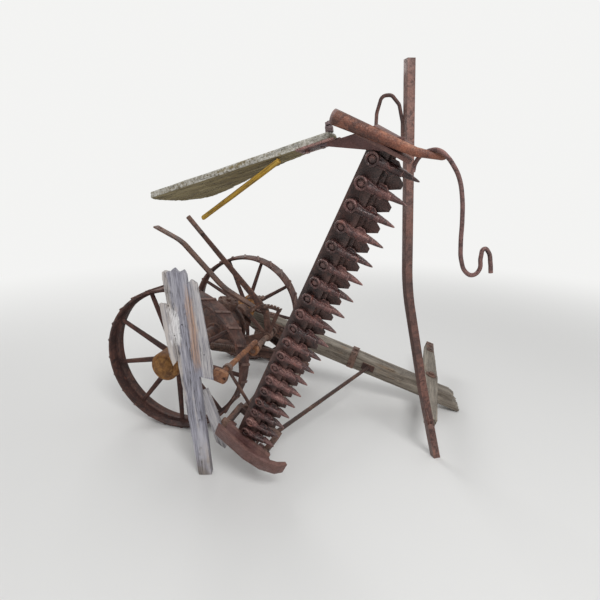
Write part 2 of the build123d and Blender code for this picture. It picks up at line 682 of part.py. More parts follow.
def lift_eye(margin):
    """Flat plate across the lift arm's outer end."""
    face = RectangleRounded(LIFT_EYE_WIDTH + 2 * margin, LIFT_EYE_HEIGHT + 2 * margin, 18)
    plate = extrude(Plane.XZ * face, LIFT_EYE_THICK / 2 + margin, both=True)
    return Pos(LIFT_ARM_X, LIFT_ARM_END - LIFT_EYE_THICK / 2, LIFT_ARM_Z) * plate


def lift_link():
    """Hanging link from the lift arm down to the yoke."""
    end = (HINGE_IN_FRAME * Pos(LIFT_LINK_SHIFT, YOKE_BACK + YOKE_BAR / 2,
                                YOKE_RISE + YOKE_BAR + SEAT)).position
    top = (LIFT_ARM_X, LIFT_ARM_END + 74, LIFT_ARM_Z)
    collar = tube((LIFT_ARM_X, top[1] - 12, LIFT_ARM_Z), (LIFT_ARM_X, top[1] + 12, LIFT_ARM_Z),
                  LIFT_ARM_R + 9, LIFT_ARM_R + SEAT)
    foot = Pos(end) * Rot(0, BAR_TILT, 0) * Cylinder(15, 20, align=BASE)
    line = (end + Vector(0, 0, 12) - Vector(*top)).normalized()
    start = Vector(*top) + line * (LIFT_ARM_R + 4)
    return collar + rod(tuple(start), (end.X, end.Y, end.Z + 12), LIFT_LINK_R) + foot


def lift_spring():
    """Balance spring between a clip on the axle tube and a short crank on the lift shaft."""
    y = SPRING_INSET - tube_end()
    clip = tube((0, y - 14, 0), (0, y + 14, 0), AXLE_TUBE_R + 12, AXLE_TUBE_R + SEAT)
    clip += box(AXLE_TUBE_R + 6, AXLE_TUBE_R + 34, y - 7, y + 7, -10, 46)
    crank = lever([(LIFT_X, LIFT_Z), (LIFT_X - 56, LIFT_Z - 50)], (30, 24), y - 7, 14)
    crank = crank + bearing(y - 14, y + 14, 28) - shaft_bore()
    start = Vector(AXLE_TUBE_R + 24, y, 36)
    end = Vector(LIFT_X - 52, y, LIFT_Z - 46)
    line = end - start
    wire = BALANCE_LENGTH / BALANCE_TURNS / 2
    first = (line.length - BALANCE_LENGTH) / 2
    coil = [(first, 0), (first, BALANCE_R - wire)]
    for n in range(BALANCE_TURNS):
        z = first + n * 2 * wire
        coil += [(z + wire, BALANCE_R), (z + 2 * wire, BALANCE_R - wire)]
    coil += [(first + BALANCE_LENGTH, 0)]
    spring = revolve(Plane.XZ * make_face(Polyline(*[(r, z) for z, r in coil], close=True)), Axis.Z)
    spring += Cylinder(6, line.length, align=BASE)
    return clip + Plane(origin=start, z_dir=line) * spring + crank


def seat_hole_place():
    """Centre and direction of the seat's bolt hole, square to the spring's end run."""
    (x0, z0), (x1, z1) = SEAT_SPRING_RUN[-2:]
    run = Vector(x1 - x0, 0, z1 - z0).normalized()
    return Vector(x1, 0, z1) - run * SEAT_HOLE_INSET, Vector(run.Z, 0, -run.X)


def seat_spring():
    """Bent flat spring that carried the seat, bolted on the tongue's back end. The seat itself is missing."""
    top = TONGUE_SEAT_Z + TONGUE_DEPTH + SEAT
    path = [(SEAT_SPRING_X, top + SEAT_SPRING_THICK / 2),
            (TONGUE_BACK + 10, top + SEAT_SPRING_THICK / 2)] + SEAT_SPRING_RUN
    line = FilletPolyline(*[(x, 0, z) for x, z in path], radius=SEAT_SPRING_BENDS)
    strip = sweep(Plane(origin=line @ 0, x_dir=(0, 1, 0), z_dir=line % 0)
                  * Rectangle(SEAT_SPRING_WIDTH, SEAT_SPRING_THICK), path=line)
    centre, normal = seat_hole_place()
    strip -= rod(centre - normal * 40, centre + normal * 40, SEAT_HOLE_R)
    strip += [Pos(x, 0, top + SEAT_SPRING_THICK) * hexagon(12, 9)
              for x in (TONGUE_BACK + 32, SEAT_SPRING_X - 28)]
    return Pos(0, MID_Y, 0) * strip


# Cutter bar

def steel_bar():
    """Flat steel bar, wider at its inner end, with the guard bolt holes."""
    top, bottom = -BAR_DROP, -BAR_DROP - BAR_THICK
    plan = [(BAR_FRONT, -BAR_START), (BAR_BACK_INNER, -BAR_START), (BAR_BACK_OUTER, -BAR_END),
            (BAR_FRONT, -BAR_END)]
    bar = outline_z(plan, bottom, top)
    holes = [rod((0, y, bottom - 5), (0, y, top + 5), BOLT_R + SEAT) for y in guard_places()]
    return bar - holes


def guard_places():
    """Where each guard stands along the bar."""
    return [-(GUARD_FIRST - n) * PITCH for n in range(GUARD_COUNT)]


def turned(start, end, points):
    """A body turned about the line between two points, from (distance along, radius) points."""
    line = Vector(*end) - Vector(*start)
    reach = line.length / points[-1][0]
    outline = [(0, 0)] + [(radius, z * reach) for z, radius in points] + [(0, line.length)]
    body = revolve(Plane.XZ * make_face(Polyline(*outline, close=True)), Axis.Z)
    return Plane(origin=start, z_dir=line) * body


def one_guard():
    """One guard: an eye under the bar, a tapering finger, wings, a seat under the knife and a lip."""
    foot_top = -BAR_DROP - BAR_THICK
    foot_bottom = foot_top - GUARD_FOOT
    ring = foot_bottom - EYE_RISE
    ledger = -SECTION_THICK / 2 - SEAT
    groove = ledger - KNIFE_BACK_THICK
    lip_base = SECTION_THICK / 2 + SEAT
    (x0, z0), (x1, z1) = FINGER_START, FINGER_TIP
    finger = turned((x0, 0, z0), (x1, 0, z1), [(0, 13.5), (78, 11), (112, 6.5), (132, 2.6), (134, 1)])
    finger -= box(0, BAR_FRONT + 1, -30, 30, foot_top, 30)
    finger -= box(BAR_FRONT, LEDGER_BACK, -30, 30, groove, 30)
    finger -= box(LEDGER_BACK - 1, LEDGER_FRONT, -30, 30, ledger, 30)
    seat = outline_z([(LEDGER_BACK, -12), (92, -9.5), (LEDGER_FRONT + 2, -5), (LEDGER_FRONT + 2, 5),
                      (92, 9.5), (LEDGER_BACK, 12)],
                     groove - 4, ledger)
    wings = outline_z([(38, -11), (46, -23), (66, -23), (80, -10), (80, 10), (66, 23), (46, 23), (38, 11)],
                      groove - 6, groove)
    cheek = outline_z([(7, -19), (46, -12), (46, 12), (7, 19)], foot_bottom, foot_top - 0.5)
    boss = rod((0, 0, ring), (0, 0, foot_top), EYE_BOSS_R)
    (x0, z0), (x1, z1) = LIP_START, LIP_END
    lip = turned((x0, 0, z0), (x1, 0, z1), [(0, 3.5), (5, 6.5), (30, 6.3), (61, 2)])
    lip -= box(0, LEDGER_FRONT, -30, 30, -30, lip_base)
    whole = boss + cheek + finger + wings + seat + lip
    whole -= rod((0, 0, ring - 1), (0, 0, ring + EYE_RECESS), EYE_RECESS_R)
    return whole - rod((0, 0, ring), (0, 0, foot_top + 1), BOLT_R + SEAT)


def guards():
    """The row of guards, side by side."""
    guard = one_guard()
    return Compound(children=[Pos(0, y, 0) * guard for y in guard_places()])


def guard_bolts():
    """Bolts through guards and bar, headed in the guards' eyes, with nuts on the bar's upper side."""
    ring = -BAR_DROP - BAR_THICK - GUARD_FOOT - EYE_RISE
    bolt = rod((0, 0, ring - 1), (0, 0, -BAR_DROP + 14), BOLT_R)
    bolt += Pos(0, 0, -BAR_DROP + SEAT) * hexagon(NUT_R, NUT_THICK)
    bolt += Pos(0, 0, ring + EYE_RECESS - SEAT - 5) * hexagon(NUT_R, 5)
    return Compound(children=[Pos(0, y, 0) * bolt for y in guard_places()])


def knife_back():
    """The knife's back, with its head and ball at the inner end."""
    top = -SECTION_THICK / 2 - 0.1
    x0, x1 = KNIFE_X - KNIFE_BACK_WIDTH / 2, KNIFE_X + KNIFE_BACK_WIDTH / 2
    y_out = guard_places()[0] - PITCH / 2 + 6
    back = box(x0, x1, y_out, -40, top - KNIFE_BACK_THICK, top)
    head = outline_z([(x0, -40), (x0, -14), (x1, -14), (x1, -40)], top - KNIFE_BACK_THICK, top + 8)
    neck = rod((KNIFE_X, -14, 0), (KNIFE_X, 0, 0), 8)
    return back + head + neck + Pos(KNIFE_X, 0, 0) * Sphere(BALL_R)


def knife_sections():
    """Riveted triangular sections, side by side on the knife's back."""
    base, tip = (PITCH - 0.4) / 2, SECTION_TIP_WIDTH / 2
    x0 = KNIFE_X - KNIFE_BACK_WIDTH / 2 + 1
    outline = [(x0, -base), (x0, base), (x0 + SECTION_BASE, base), (x0 + SECTION_LENGTH, tip),
               (x0 + SECTION_LENGTH, -tip), (x0 + SECTION_BASE, -base)]
    section = outline_z(outline, -SECTION_THICK / 2, SECTION_THICK / 2)
    rivet = rod((KNIFE_X, 0, SECTION_THICK / 2), (KNIFE_X, 0, SECTION_THICK / 2 + 3), 5)
    section += [Pos(0, side * 19, 0) * rivet for side in (-1, 1)]
    places = [y + KNIFE_SHIFT for y in guard_places()[:-1]]
    return Compound(children=[Pos(0, y, 0) * section for y in places])


def hold_down_clips():
    """Clips bolted to the bar that bear on the knife from above."""
    low = -BAR_DROP + SEAT
    high = SECTION_THICK / 2 + 4
    side = [(-26, low), (22, low), (BAR_FRONT, high - 3), (LEDGER_BACK + 14, high - 3),
            (LEDGER_BACK + 14, high + CLIP_THICK - 4),
            (BAR_FRONT - 8, high + CLIP_THICK - 2), (14, low + CLIP_THICK), (-26, low + CLIP_THICK)]
    clip = outline_y(side, -CLIP_WIDTH / 2, CLIP_WIDTH / 2)
    bolt = Pos(-12, 0, low + CLIP_THICK) * hexagon(9, 8)
    places = guard_places()
    step = (GUARD_COUNT - 2) // (CLIP_COUNT - 1)
    clips = []
    for n in range(CLIP_COUNT):
        y = places[1 + n * step] + KNIFE_SHIFT
        clips.append(Pos(0, y, 0) * (clip + bolt))
    return Compound(children=clips)


def inner_shoe():
    """Inner shoe: runner with a turned-up nose, a web up to the bar's seat, and two hinge eyes."""
    seat = -BAR_DROP - BAR_THICK - SEAT
    low = seat - SHOE_BED
    back = SHOE_BACK
    runner = outline_y([(back, -90), (back + 8, -103), (60, -112), (150, -100), (215, -70), (240, -36),
                        (226, -30),
                        (196, -58), (140, -84), (60, -96), (back + 16, -88)], -92, -22)
    web = outline_y([(back + 30, -90), (60, -98), (140, -86), (186, -62), (150, low + 2),
                     (back + 32, low + 2)], -50, -38)
    whole = runner + web + box(back + 32, 150, SHOE_BED_OUT, SHOE_BED_IN, low, seat)
    end = YOKE_REACH - EYE_LENGTH - FACE_PLAY
    for side in (-1, 1):
        x0, x1 = sorted((side * (end - EYE_LENGTH), side * end))
        lug = [(0, -EYE_R), (0, EYE_R), (-26, 8), (-38, seat), (-38, low), (SHOE_BED_IN, low)]
        face = Plane.YZ.offset(x0) * make_face(Polyline(*lug, close=True))
        whole += extrude(face, x1 - x0) + rod((x0, 0, 0), (x1, 0, 0), EYE_R)
    return whole - rod((-200, 0, 0), (200, 0, 0), HINGE_PIN_R + HINGE_PLAY)


def sole_points():
    """The sole's middle line in the bar's axes."""
    return [Vector(x, -BAR_END - out, z) for x, out, z, _ in SOLE_RUN]


def outer_shoe():
    """Outer shoe: upright flange at the bar's end, and a tapering trough-shaped sole with a raised nose."""
    y1 = -BAR_END - SEAT
    y0 = y1 - FLANGE_THICK
    low = -BAR_DROP - BAR_THICK - GUARD_FOOT
    heel, ball, nose = sole_points()
    r0, r1, r2 = [row[3] for row in SOLE_RUN]
    whole = outline_y([(-96, low - 4), (-84, 2), (40, 6), (70, 0), (100, low + 6), (100, low - 12),
                       (-60, low - 16)], y0, y1)
    whole += turned(heel, ball, [(0, r0), (100, r1)]) + Pos(ball) * Sphere(r1)
    whole += turned(ball, nose, [(0, r1), (88, r2), (96, r2 - 3), (100, 1)])
    run = (ball - heel).normalized()
    whole -= rod(heel - run, heel + run * 4, SOLE_DISH_R)
    edge = heel + run * 118
    wall = box(edge.X, edge.X + 112, edge.Y - r1 - 7, edge.Y - r1 - 1, -44, -8)
    beside_board = board_axes() * box(-200, 400, -200, ear_face() + SEAT, -200, 200)
    return whole + wall + (heel_arm(0, -BRACKET_THICK) - beside_board)


def heel_arm(start, top):
    """Flat bar from beside the sole back to the board's front end, its upper side at height `top`."""
    first, last = Vector(62, -BAR_END - 34, 0), Vector(-185, -BAR_END + 69, 0)
    first = first + (last - first) * start
    z = BOARD_START[2] + top + BRACKET_THICK / 2
    return flat((first.X, first.Y, z), (last.X, last.Y, z), (0, 0, 1), BRACKET_THICK, BRACKET_WIDTH)


def ear_face():
    """How far the bracket's ear stands out from the board's outer face."""
    return BOARD_THICK + SEAT + 6


def board_axes():
    """Axes of the swath board: origin at its front lower corner, x to its tip, y inward, z down."""
    turn = radians(BOARD_ANGLE)
    level = Plane(origin=BOARD_START, x_dir=(-cos(turn), sin(turn), 0), z_dir=(0, 0, -1)).location
    return level * Rot(BOARD_LEAN, 0, 0)


def swath_board():
    """Swath board standing on its edge: a plank that widens towards its rounded tip."""
    outline = [(x, -width) for x, width in BOARD_WIDTHS]
    plank = outline_y([(0, 0)] + outline, 0, BOARD_THICK)
    return board_axes() * (plank - rod((SPRING_BOLT_X, -1, -22), (SPRING_BOLT_X, BOARD_THICK + 1, -22),
                                       SPRING_BOLT_R + SEAT))


def board_bracket():
    """Angle iron: a foot on the shoe's arm, and an ear along the board's inner face."""
    y = BOARD_THICK + SEAT
    ear = box(-12, BRACKET_LENGTH, y, ear_face(), -40, 8)
    ear += [Pos(x, ear_face(), -20) * ALONG_Y * hexagon(9, 6) for x in (40, 96)]
    foot = heel_arm(0.72, SEAT) - board_axes() * box(-200, 400, -200, y, -200, 200)
    return foot + board_axes() * ear


def spring_bolt():
    """Bolt through the board with a coil spring and nut outside it."""
    bolt = rod((0, BOARD_THICK + SEAT, 0), (0, -SPRING_LENGTH - 14, 0), SPRING_BOLT_R)
    bolt += Pos(0, -SPRING_LENGTH - 1, 0) * Rot(90, 0, 0) * hexagon(12, 9)
    wire = SPRING_LENGTH / SPRING_TURNS / 2
    coil = [(0, SPRING_BOLT_R - 1), (0, SPRING_R - wire)]
    for n in range(SPRING_TURNS):
        y = -n * 2 * wire
        coil += [(y - wire, SPRING_R), (y - 2 * wire, SPRING_R - wire)]
    coil += [(-SPRING_LENGTH, SPRING_BOLT_R - 1)]
    return board_axes() * Pos(SPRING_BOLT_X, 0, -22) * (bolt + Pos(0, -SEAT, 0) * turned_y(coil))


def grass_stick():
    """Round stick fixed to the board's inner face and slanting up behind it."""
    start = (STICK_X, BOARD_THICK + STICK_R + SEAT, STICK_START_Z)
    return board_axes() * rod(start, STICK_END, STICK_R)


def hook_rod():
    """Hooked rod that hangs over the outer shoe's nose, with a curl at its lower end."""
    nose = (BAR * Pos(*sole_points()[-1])).position
    # right of the nose, away behind it, above it
    route = [(-85, 46, -36), (-54, 40, 18), (-8, -4, 22), (33, -24, -42), (37, -28, -120), (37, -30, -283),
             (82, -30, -283),
             (82, -30, -215), (105, -30, -215), (109, -30, -282)]
    turn = radians(VIEW_TURN)
    points = [(nose.X + r * cos(turn) - d * sin(turn), nose.Y + r * sin(turn) + d * cos(turn),
               nose.Z + h - HOOK_ROD_DROP) for r, d, h in route]
    radii = [20, 30, 60, 60, 21, 21, 11, 11]
    return bent_rod(points, radii, HOOK_ROD_R)


# Tongue, evener and stay

def ground_x(z):
    """Where a line at height z in the level axes meets the ground."""
    dip = radians(FRAME_DIP)
    return (WHEEL_TIP_R + z * cos(dip)) / sin(dip)


def tongue_top(x):
    """Height of the tongue's upper side at x."""
    start = TONGUE_BACK + TONGUE_STRAIGHT
    end = ground_x(TONGUE_SEAT_Z) - TONGUE_BREAK
    share = max(0, x - start) / (end - start)
    return TONGUE_SEAT_Z + TONGUE_DEPTH + (TONGUE_TIP_DEPTH - TONGUE_DEPTH) * share


def tongue():
    """Wooden tongue, broken off short: its splintered end rests on the ground."""
    z0 = TONGUE_SEAT_Z
    tip = ground_x(z0)
    top = z0 + TONGUE_DEPTH
    side = [(TONGUE_BACK, z0), (tip, z0), (tip - 22, z0 + 24), (tip - 46, z0 + 20), (tip - 34, z0 + 44),
            (tip - 84, z0 + 60),
            (tip - 70, z0 + 78), (tip - TONGUE_BREAK, z0 + TONGUE_TIP_DEPTH),
            (TONGUE_BACK + TONGUE_STRAIGHT, top), (TONGUE_BACK, top)]
    return outline_y(side, MID_Y - TONGUE_WIDTH / 2, MID_Y + TONGUE_WIDTH / 2)


def evener_top():
    """Height of the tongue's upper side where the evener lies."""
    return tongue_top(EVENER_X - EVENER_WIDTH / 2) + SEAT


def evener():
    """Wooden evener across the tongue."""
    half, tip, reach = EVENER_WIDTH / 2, EVENER_TIP_WIDTH / 2, EVENER_LENGTH / 2
    plan = [(-half, 0), (-tip, reach), (tip, reach), (half, 0), (tip, -reach), (-tip, -reach)]
    return Pos(EVENER_X, MID_Y, 0) * outline_z(plan, evener_top(), evener_top() + EVENER_THICK)


def tongue_irons():
    """Straps over the tongue, one on the frame's head and one further forward, and the evener's bolt."""
    half = TONGUE_WIDTH / 2 + SEAT
    irons = []
    for x in TONGUE_STRAPS:
        top = tongue_top(x - 22) + SEAT
        strap = box(x - 22, x + 22, -half - 6, half + 6, top, top + 6)
        for side in (-1, 1):
            y0, y1 = sorted((side * half, side * (half + 6)))
            strap += box(x - 22, x + 22, y0, y1, TONGUE_SEAT_Z + SEAT, top + 1)
        strap += Pos(x, 0, top + 6) * hexagon(13, 10)
        irons.append(strap)
    top = evener_top() + EVENER_THICK + SEAT
    irons.append(Pos(EVENER_X, 0, top) * (Cylinder(34, 6, align=BASE) + Pos(0, 0, 6) * hexagon(17, 14)))
    return Pos(0, MID_Y, 0) * Compound(children=irons)


def evener_irons():
    """Forked end iron on the evener's left end, with the hole for a trace clip and two wear plates."""
    low, high = evener_top(), evener_top() + EVENER_THICK
    reach = EVENER_LENGTH / 2
    half = EVENER_TIP_WIDTH / 2 - 4
    irons = []
    for z0 in (low - 6 - SEAT, high + SEAT):
        irons.append(box(-half, half, reach - 130, reach + 46, z0, z0 + 6))
    end = box(-half, half, reach + 40, reach + 46, low - 1, high + 1)
    fork = irons[0] + irons[1] + end
    fork -= rod((0, reach + 18, low - 20), (0, reach + 18, high + 20), EVENER_HOLE_R)
    fork += [Pos(0, reach - y, high + SEAT + 6) * hexagon(9, 7) for y in (30, 100)]
    return Pos(EVENER_X, MID_Y, 0) * fork


def stay_bolt_place():
    """Centre of the bolt that holds the stay to the evener's end, on the ground axes."""
    end = Pos(EVENER_X, MID_Y - EVENER_LENGTH / 2, evener_top() + EVENER_THICK / 2)
    return (FRAME * end).position


def stay_axes():
    """Axes of the stay: on the ground at its foot, leaning to the right."""
    foot_y = stay_bolt_place().Y - GROUND.position.Y - STAY_LEG + 4
    lean = degrees(atan2(foot_y - STAY_TOP_Y, STAY_RUN[-1][1]))
    return GROUND * Pos(0, foot_y, 0) * Rot(lean, 0, 0)


def stay_bar():
    """Tall angle-iron stay, bowed near its foot and bolted to the evener's right end."""
    path = FilletPolyline(*[(x, 0, z) for x, z in STAY_RUN], radius=[1200, 1500, 2500])
    corner = [(0, 0), (STAY_LEG, 0), (STAY_LEG, STAY_THICK), (STAY_THICK, STAY_THICK),
              (STAY_THICK, STAY_LEG), (0, STAY_LEG)]
    profile = Rot(0, 0, STAY_TURN) * make_face(Polyline(*corner, close=True))
    place = Plane(origin=path @ 0, x_dir=(0, 1, 0), z_dir=path % 0)
    bar = stay_axes() * sweep(place * (Rot(0, 0, -90) * profile), path=path)
    hole = stay_bolt_place()
    bar -= rod((hole.X, hole.Y + 50, hole.Z), (hole.X, hole.Y - 100, hole.Z), STAY_BOLT_R + SEAT)
    return bar - Pos(0, 0, -100) * Box(6000, 6000, 200)


def stay_bolt():
    """Bolt through the stay into the evener's end."""
    place = stay_bolt_place()
    y = place.Y - STAY_LEG + 4
    bolt = rod((place.X, place.Y - SEAT, place.Z), (place.X, y - 16, place.Z), STAY_BOLT_R)
    return bolt + Pos(place.X, y - 10, place.Z) * Rot(90, 0, 0) * hexagon(15, 10)


def arch_rod():
    """Thin rod bent in an arch beside the stay's top and fastened down its left side."""
    turn = radians(STAY_TURN)
    reach = STAY_LEG + ARCH_ROD_R + SEAT
    (x0, z0), (x1, z1) = STAY_RUN[-2:]
    points = []
    for left, z in ARCH_ROD:
        x = x0 + (x1 - x0) * (z - z0) / (z1 - z0)
        points.append((x - reach * sin(turn) - left, reach * cos(turn), z))
    return stay_axes() * bent_rod(points, [60, 26, 26, 30, 60], ARCH_ROD_R)


def timber_axes():
    """Axes of the leaning timber: x to its right side, y away behind it, z along it."""
    foot = (TIMBER_FOOT[0] - CENTRE_X, TIMBER_FOOT[1] - CENTRE_Y, 0)
    up = (TIMBER_TOP[0] - TIMBER_FOOT[0], TIMBER_TOP[1] - TIMBER_FOOT[1], TIMBER_HEIGHT)
    turn = radians(VIEW_TURN)
    unit = Vector(*up).normalized()
    right = Vector(cos(turn), sin(turn), 0)
    right = right - unit * right.dot(unit)
    return Plane(origin=foot, x_dir=right, z_dir=up)


def plank(points, y0, y1):
    """A plank of the timber, from its outline in x and z."""
    return timber_axes() * outline_y(points, y0, y1)


def timber_main():
    """The longest board, split along its grain and narrow at its foot."""
    board = plank([(-32, -20), (32, -20), TIMBER_EDGE[0], TIMBER_EDGE[1], (44, 1022), (20, 1010),
                   (4, 1034), (-18, 1016),
                   (-48, 1024), (-52, 990), (-46, 560), (-36, 240)], 0, TIMBER_THICK)
    return board - Pos(0, 0, -100) * Box(6000, 6000, 200)


def timber_boards():
    """Three shorter pieces: a strip at the left, a board on the lift arm at the right, a piece below."""
    (x0, z0), (x1, z1) = TIMBER_EDGE
    side = [(x0 + (x1 - x0) * (z - z0) / (z1 - z0) + SEAT, z) for z in (957, 520)]
    strip = plank([(-76, 890), (-46, 884), (-42, 610), (-60, 590), (-70, 640)], -TIMBER_SIDE_THICK - SEAT,
                  -SEAT)
    right = plank(side + [(108, 496), (112, 560), (96, 958), (72, 980)], 0, TIMBER_SIDE_THICK)
    lower = plank([(20, 420), (62, 440), (128, 140), (104, 110), (66, 150)], TIMBER_THICK + SEAT,
                  TIMBER_THICK + SEAT + TIMBER_SIDE_THICK)
    return Compound(children=[strip, right - FRAME * lift_eye(SEAT), lower])


# name: (axes, maker, arguments)
PIECES = {
    "wheel_right": (GROUND, wheel, (-1,)),
    "wheel_left": (GROUND, wheel, (1,)),
    "hub_cap_right": (GROUND, hub_cap, (-1,)),
    "hub_cap_left": (GROUND, hub_cap, (1,)),
    "axle": (FRAME, axle, ()),
    "gear_case": (FRAME, gear_case, ()),
    "gear_case_lid": (FRAME, gear_case_lid, ()),
    "axle_tubes": (FRAME, axle_tubes, ()),
    "frame_arm_right": (FRAME, frame_arm, (ARM_RIGHT_Y, -1)),
    "frame_arm_left": (FRAME, frame_arm, (tube_end() - ARM_LEFT_INSET, 1)),
    "crank_case": (FRAME, crank_case, ()),
    "crankshaft": (FRAME, crankshaft, ()),
    "flywheel": (FRAME, flywheel, ()),
    "pitman": (FRAME, pitman, ()),
    "pitman_irons": (FRAME, pitman_irons, ()),
    "hinge_yoke": (HINGE, hinge_yoke, ()),
    "hinge_pins": (HINGE, hinge_pins, ()),
    "drag_bar": (FRAME, drag_bar, ()),
    "draft_rod": (FRAME, draft_rod, ()),
    "lift_shaft": (FRAME, lift_shaft, ()),
    "tongue_bearing": (FRAME, tongue_bearing, ()),
    "quadrant": (FRAME, quadrant, ()),
    "hand_lever": (FRAME, hand_lever, ()),
    "foot_lever": (FRAME, foot_lever, ()),
    "lift_arm": (FRAME, lift_arm, ()),
    "lift_link": (FRAME, lift_link, ()),
    "lift_spring": (FRAME, lift_spring, ()),
    "seat_spring": (FRAME, seat_spring, ()),
    "cutter_bar": (BAR, steel_bar, ()),
    "guards": (BAR, guards, ()),
    "guard_bolts": (BAR, guard_bolts, ()),
    "knife_back": (BAR, knife_back, ()),
    "knife_sections": (BAR, knife_sections, ()),
    "hold_down_clips": (BAR, hold_down_clips, ()),
    "inner_shoe": (BAR, inner_shoe, ()),
    "outer_shoe": (BAR, outer_shoe, ()),
    "swath_board": (BAR, swath_board, ()),
    "board_bracket": (BAR, board_bracket, ()),
    "spring_bolt": (BAR, spring_bolt, ()),
    "grass_stick": (BAR, grass_stick, ()),
    "hook_rod": (Location(), hook_rod, ()),
    "tongue": (FRAME, tongue, ()),
    "evener": (FRAME, evener, ()),
    "tongue_irons": (FRAME, tongue_irons, ()),
    "evener_irons": (FRAME, evener_irons, ()),
    "stay_bar": (Location(), stay_bar, ()),
    "stay_bolt": (Location(), stay_bolt, ()),
    "arch_rod": (Location(), arch_rod, ()),
    "timber_main": (Location(), timber_main, ()),
    "timber_boards": (Location(), timber_boards, ()),
}

if __name__ == "__main__":
    os.makedirs("parts", exist_ok=True)
    for name, (axes, maker, arguments) in PIECES.items():
        export_step(axes * maker(*arguments), f"parts/{name}.step")
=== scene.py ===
import json
import math

import bpy
from mathutils import Matrix, Vector


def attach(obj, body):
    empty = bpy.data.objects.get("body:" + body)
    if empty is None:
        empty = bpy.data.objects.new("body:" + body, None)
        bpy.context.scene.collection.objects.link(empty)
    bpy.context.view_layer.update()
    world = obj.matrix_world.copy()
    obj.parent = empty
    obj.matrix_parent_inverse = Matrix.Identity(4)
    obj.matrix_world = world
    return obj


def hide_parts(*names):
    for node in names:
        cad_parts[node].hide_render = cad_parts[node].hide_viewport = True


bl_info = {
    "name": "Sickle bar mower",
    "version": (1, 0, 0),
    "blender": (4, 5, 0),
    "location": "View3D > Sidebar > Mower",
    "description": "Dresses a weathered horse-drawn mower with rusted iron, grey timber and a studio floor",
    "category": "Object",
}

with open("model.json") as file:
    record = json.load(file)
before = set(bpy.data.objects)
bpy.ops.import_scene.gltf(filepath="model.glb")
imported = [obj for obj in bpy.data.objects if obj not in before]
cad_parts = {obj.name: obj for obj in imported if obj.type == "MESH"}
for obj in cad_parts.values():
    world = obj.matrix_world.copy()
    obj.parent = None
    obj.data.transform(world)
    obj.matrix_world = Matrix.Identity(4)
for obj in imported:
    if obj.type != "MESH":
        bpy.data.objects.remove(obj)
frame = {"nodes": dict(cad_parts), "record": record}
NODES = frame["nodes"]

# The part's origin, on the ground under the machine's middle, in metres from below the axle's centre
CENTRE = Vector((0.5751, -0.36266, 0.0))

# Camera: its place and farthest view in metres, its turns in degrees, its lens and sensor in millimetres
CAMERA_PLACE = Vector((1.297, -2.675, 1.4)) - CENTRE
CAMERA_DOWN = 15.0
CAMERA_TURN = 15.0
CAMERA_LENS = 27.0
CAMERA_SENSOR = 36.0
CAMERA_END = 200.0

# The machine's stance, in degrees and metres
FRAME_DIP = 18.0
WHEEL_R = 0.417
DRUM_R = 0.080
HINGE_PLACE = (0.587, -0.893, -0.033)
BAR_TILT = 10.6
BAR_SKEW = -8.4
BAR_RAISE = 72.8
BAR_LENGTH = 1.50114
BAR_FRONT = 0.030
BOARD_ANGLE = 42.0
BOARD_LEAN = 20.0
BOARD_START = (-0.1546, 0.0304 - BAR_LENGTH, -0.025)
TIMBER_FOOT = Vector((0.354, -0.951, 0.0)) - CENTRE
TIMBER_TOP = Vector((0.271, -0.974, 1.031)) - CENTRE

# Outer shoe in the bar's axes, in metres: its round sole narrows and turns from the heel to the nose
SOLE_HEEL = -0.152
SOLE_OFFSET = 0.013
SOLE_SLOPE = 0.0913
SOLE_DEPTH = -0.044
SOLE_RISE = 0.008
SOLE_TAPER = 0.0377
SOLE_EDGE = (0.0227, 0.0240)
SOLE_NOSE = (0.178, -BAR_LENGTH - 0.057, -0.030)
ARM_FRONT = (0.100, 0.106)
INNER_SHOE = (-1.30, -1.25)
HEEL_WEAR = (SOLE_HEEL + 0.004, SOLE_HEEL + 0.010)

# Guards in the bar's axes, in metres: the outermost stands GUARD_FIRST pitches from the hinge
PITCH = 0.0762
GUARD_COUNT = 19
GUARD_FIRST = 19.2
EYE_RADIUS = 0.0176
EYE_THICKNESS = 0.0046
EYE_HEIGHT = -0.0375
NECK_START = (0.016, -0.0335)
NECK_END = (0.092, -0.0165)
NECK_RADII = (0.0088, 0.0112)
GUARD_VOXEL = 0.0013
FORGED_GRAIN = 0.006
FORGED_DEPTH = 0.0007

# Scale on the flat bar's front edge, and how far the bar's edges are worn round, in metres
SCALE_GROWTH = 0.0070
BAR_WEAR = 0.0012

# Depth of the relief on iron and on wood, in metres
RUST_RELIEF = 0.0020
WOOD_RELIEF = 0.0012


def turned(axis, degrees):
    return Matrix.Rotation(math.radians(degrees), 4, axis)


def axes(origin, x, y, z):
    """Axes from an origin and three unit vectors."""
    made = Matrix((x, y, z)).transposed().to_4x4()
    made.translation = origin
    return made


# Axes of the mower's dipped frame about the axle's centre, then the cutter bar's, board's and timber's
FRAME_AXES = Matrix.Translation(Vector((0, 0, WHEEL_R)) - CENTRE) @ turned("Y", FRAME_DIP)
HINGE_AXES = FRAME_AXES @ Matrix.Translation(HINGE_PLACE) @ turned("Y", BAR_TILT) @ turned("Z", BAR_SKEW)
BAR_AXES = HINGE_AXES @ turned("X", -BAR_RAISE)
BOARD_RUN = Vector((-math.cos(math.radians(BOARD_ANGLE)), math.sin(math.radians(BOARD_ANGLE)), 0))
BOARD_ACROSS = Vector((BOARD_RUN.y, -BOARD_RUN.x, 0))
BOARD_AXES = BAR_AXES @ axes(BOARD_START, BOARD_RUN, BOARD_ACROSS, (0, 0, -1)) @ turned("X", BOARD_LEAN)
TIMBER_UP = (TIMBER_TOP - TIMBER_FOOT).normalized()
VIEW_RIGHT = Vector((math.cos(math.radians(CAMERA_TURN)), math.sin(math.radians(CAMERA_TURN)), 0))
TIMBER_RIGHT = (VIEW_RIGHT - TIMBER_UP * VIEW_RIGHT.dot(TIMBER_UP)).normalized()
